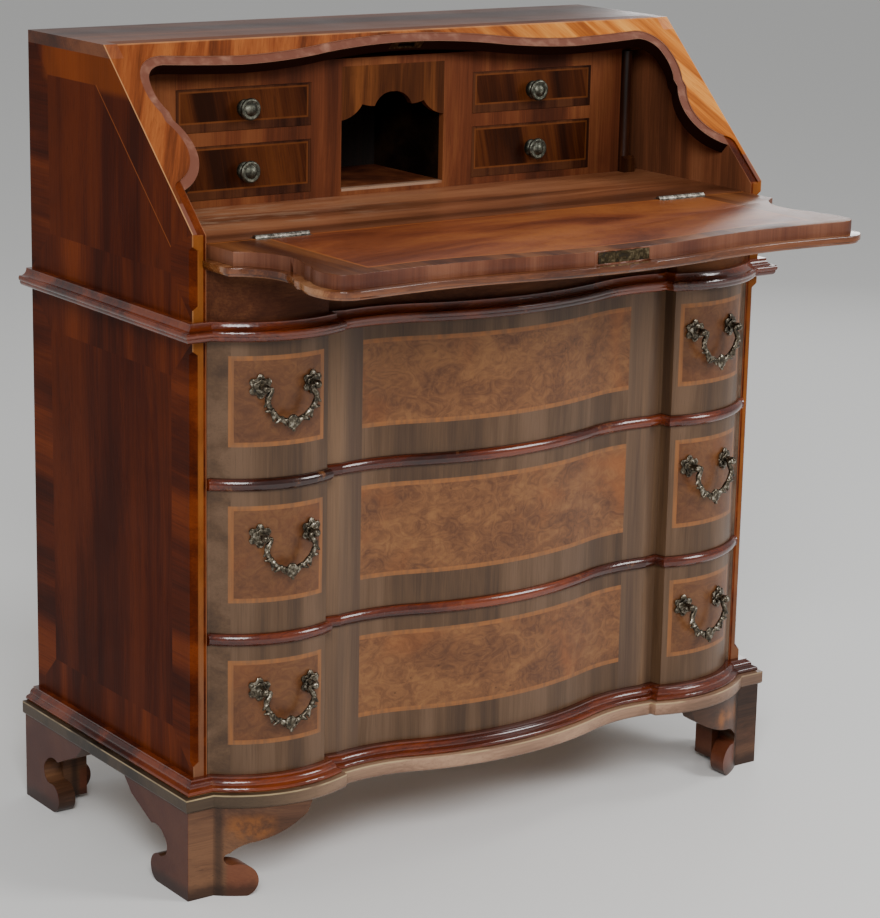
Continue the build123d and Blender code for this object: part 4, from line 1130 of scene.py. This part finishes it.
def makeLeaf(look, size, angle, lean):
    # a pointed leaf with a raised rib, on the outer side of the bow
    clearSelection()
    bpy.ops.mesh.primitive_uv_sphere_add(segments=12, ring_count=8, radius=size)
    leaf = bpy.context.object
    bpy.ops.object.mode_set(mode="EDIT")
    bpy.ops.transform.resize(value=(0.62, 0.36, 1.0))
    selectWhere(lambda p: p.z < -0.35 * size)
    bpy.ops.transform.resize(value=(0.6, 0.8, 1.15))
    selectWhere(lambda p: abs(p.x) < 0.08 * size and p.y < 0 and abs(p.z) < 0.8 * size)
    bpy.ops.transform.translate(value=(0, -0.16 * size, 0))
    selectWhere(lambda p: abs(p.x) > 0.45 * size and abs(p.z) < 0.5 * size)
    bpy.ops.transform.translate(value=(0, 0.12 * size, 0.12 * size))
    finishEdit(60)
    turn = Matrix.Rotation(math.radians(-angle), 4, "Y")
    seat = Matrix.Translation((0, 0, -look["bowRadius"] - 0.0016))
    leaf.data.transform(Matrix.Translation((0, -0.0014, look["bowCentre"])) @ turn @ seat
                        @ Matrix.Rotation(math.radians(lean), 4, "Y"))
    return leaf


def makeShield(look):
    # the pointed shield at the bottom of the bow, with two scrolls
    width = look["shieldWidth"]
    clearSelection()
    bpy.ops.mesh.primitive_cylinder_add(
        vertices=24, radius=width, depth=0.0042, rotation=(math.pi / 2, 0, 0))
    bpy.ops.object.transform_apply(location=False, rotation=True, scale=False)
    shield = bpy.context.object
    bpy.ops.object.mode_set(mode="EDIT")
    bpy.ops.transform.resize(value=(1, 1, look["shieldHeight"] / width))
    selectWhere(lambda p: p.z < -0.006)
    bpy.ops.transform.resize(value=(0.35, 1, 1.1))
    selectWhere(lambda p: abs(p.z) < 0.0035 and abs(p.x) > 0.8 * width)
    bpy.ops.transform.resize(value=(0.84, 1, 1))
    selectWhere(lambda p: p.y < -0.001, "faces")
    for _ in range(2):
        bpy.ops.mesh.inset(thickness=0.0016, depth=0.0007)
    finishEdit(30)
    shield.data.transform(Matrix.Translation((0, -0.002, look["shieldPlace"])))
    return shield


def makeBail(look):
    parts = [makeBow(look), makeShield(look)]
    for angle, size, lean in look["leaves"]:
        parts.append(makeLeaf(look, size, angle, lean))
        parts.append(makeLeaf(look, size, -angle, -lean))
    return joined("bailPattern", parts)


def makeLeafRing(radius, depth, lift, petals, turn):
    # a disc with a dished face, cut in between its leaves
    clearSelection()
    bpy.ops.mesh.primitive_cylinder_add(vertices=petals * 6, radius=radius, depth=depth)
    ring = bpy.context.object
    pitch = 2 * math.pi / petals

    def atRim(p):
        return math.hypot(p.x, p.y) > radius * 0.9

    def inValley(p, share):
        around = (math.atan2(p.y, p.x) + turn) % pitch
        return atRim(p) and min(around, pitch - around) < pitch * share

    bpy.ops.object.mode_set(mode="EDIT")
    selectWhere(lambda p: p.z > 0, "faces")
    bpy.ops.mesh.inset(thickness=radius * 0.28, depth=0.0008)
    bpy.ops.mesh.inset(thickness=radius * 0.26, depth=-0.0006)
    for share, size in ((0.09, 0.62), (0.2, 0.86)):
        selectWhere(lambda p: inValley(p, share))
        bpy.ops.transform.resize(value=(size, size, 1))
    # the tips bend back
    selectWhere(lambda p: p.z > 0 and atRim(p) and not inValley(p, 0.34))
    bpy.ops.transform.translate(value=(0, 0, -0.0012))
    finishEdit(50)
    ring.data.transform(Matrix.Translation((0, 0, lift)))
    return ring


def makeRosette(look):
    # a leafy head, facing out of the drawer
    rosette = joined("rosettePattern", [makeLeafRing(*ring) for ring in look["rings"]])
    rosette.data.transform(Matrix.Rotation(math.pi / 2, 4, "X"))
    return rosette


def handlePlace(joint):
    # from the joint: its pivot, and the turn that the lobe gives the handle
    axis = Vector(joint["axis"])
    turn = math.atan2(-axis.y, -axis.x)
    return Matrix.Translation(joint["pos_m"]) @ Matrix.Rotation(turn, 4, "Z")


def slimMounts(look, drawer, seats):
    # the posts and bolts with smaller plates, so the leaves make the outline
    node = nodes[drawer + "_mounts"]
    plate = look["plate"]
    piece = mergedCopy(node, drawer + "_posts")
    for vert in piece.data.vertices:
        for seat in seats:
            local = seat.inverted() @ vert.co
            reach = math.hypot(local.x, local.z)
            inPlate = abs(local.y - plate["middle"]) < plate["halfDepth"]
            if inPlate and plate["cutTo"] < reach < plate["radius"]:
                share = plate["cutTo"] / reach
                vert.co = seat @ Vector((local.x * share, local.y, local.z * share))
    pickOnly(piece)
    bpy.ops.object.shade_smooth_by_angle(angle=math.radians(35))
    bodyPiece(piece, drawer, metals["pewterBail"])
    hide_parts(node.name)


def addHandles(look):
    seats = {}
    bail = makeBail(look)
    rosette = makeRosette(look)
    half = look["spacing"] / 2
    for joint in frame["joints"]:
        if not joint["name"].endswith("_swing"):
            continue
        place = handlePlace(joint)
        node = joint["child"]
        piece = placedCopy(bail, node + "_leafwork", place)
        bodyPiece(piece, node, metals["pewterBail"])
        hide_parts(node)
        for side in (-1, 1):
            tilt = Matrix.Rotation(math.radians(side * look["tilt"]), 4, "Z")
            seat = place @ Matrix.Translation((side * half, look["reach"], 0)) @ tilt
            end = "left" if side < 0 else "right"
            head = placedCopy(rosette, f"{node}_head_{end}", seat)
            bodyPiece(head, joint["parent"], metals["pewterBail"])
            seats.setdefault(joint["parent"], []).append(seat)
    for drawer, places in seats.items():
        slimMounts(look, drawer, places)
    for pattern in (bail, rosette):
        bpy.data.objects.remove(pattern)


addHandles(bailLook)
print("handles ready")


# floor
def addFloor(setup):
    bpy.ops.mesh.primitive_plane_add(size=setup["floorSize"], location=(0, 0, 0))
    floor = bpy.context.object
    floor.name = "floor"
    material = bpy.data.materials.new("floorPaint")
    material.use_nodes = True
    shader = material.node_tree.nodes["Principled BSDF"]
    shader.inputs["Base Color"].default_value = rgb(setup["floorColour"])
    shader.inputs["Roughness"].default_value = setup["floorRoughness"]
    floor.data.materials.append(material)


addFloor(studio)
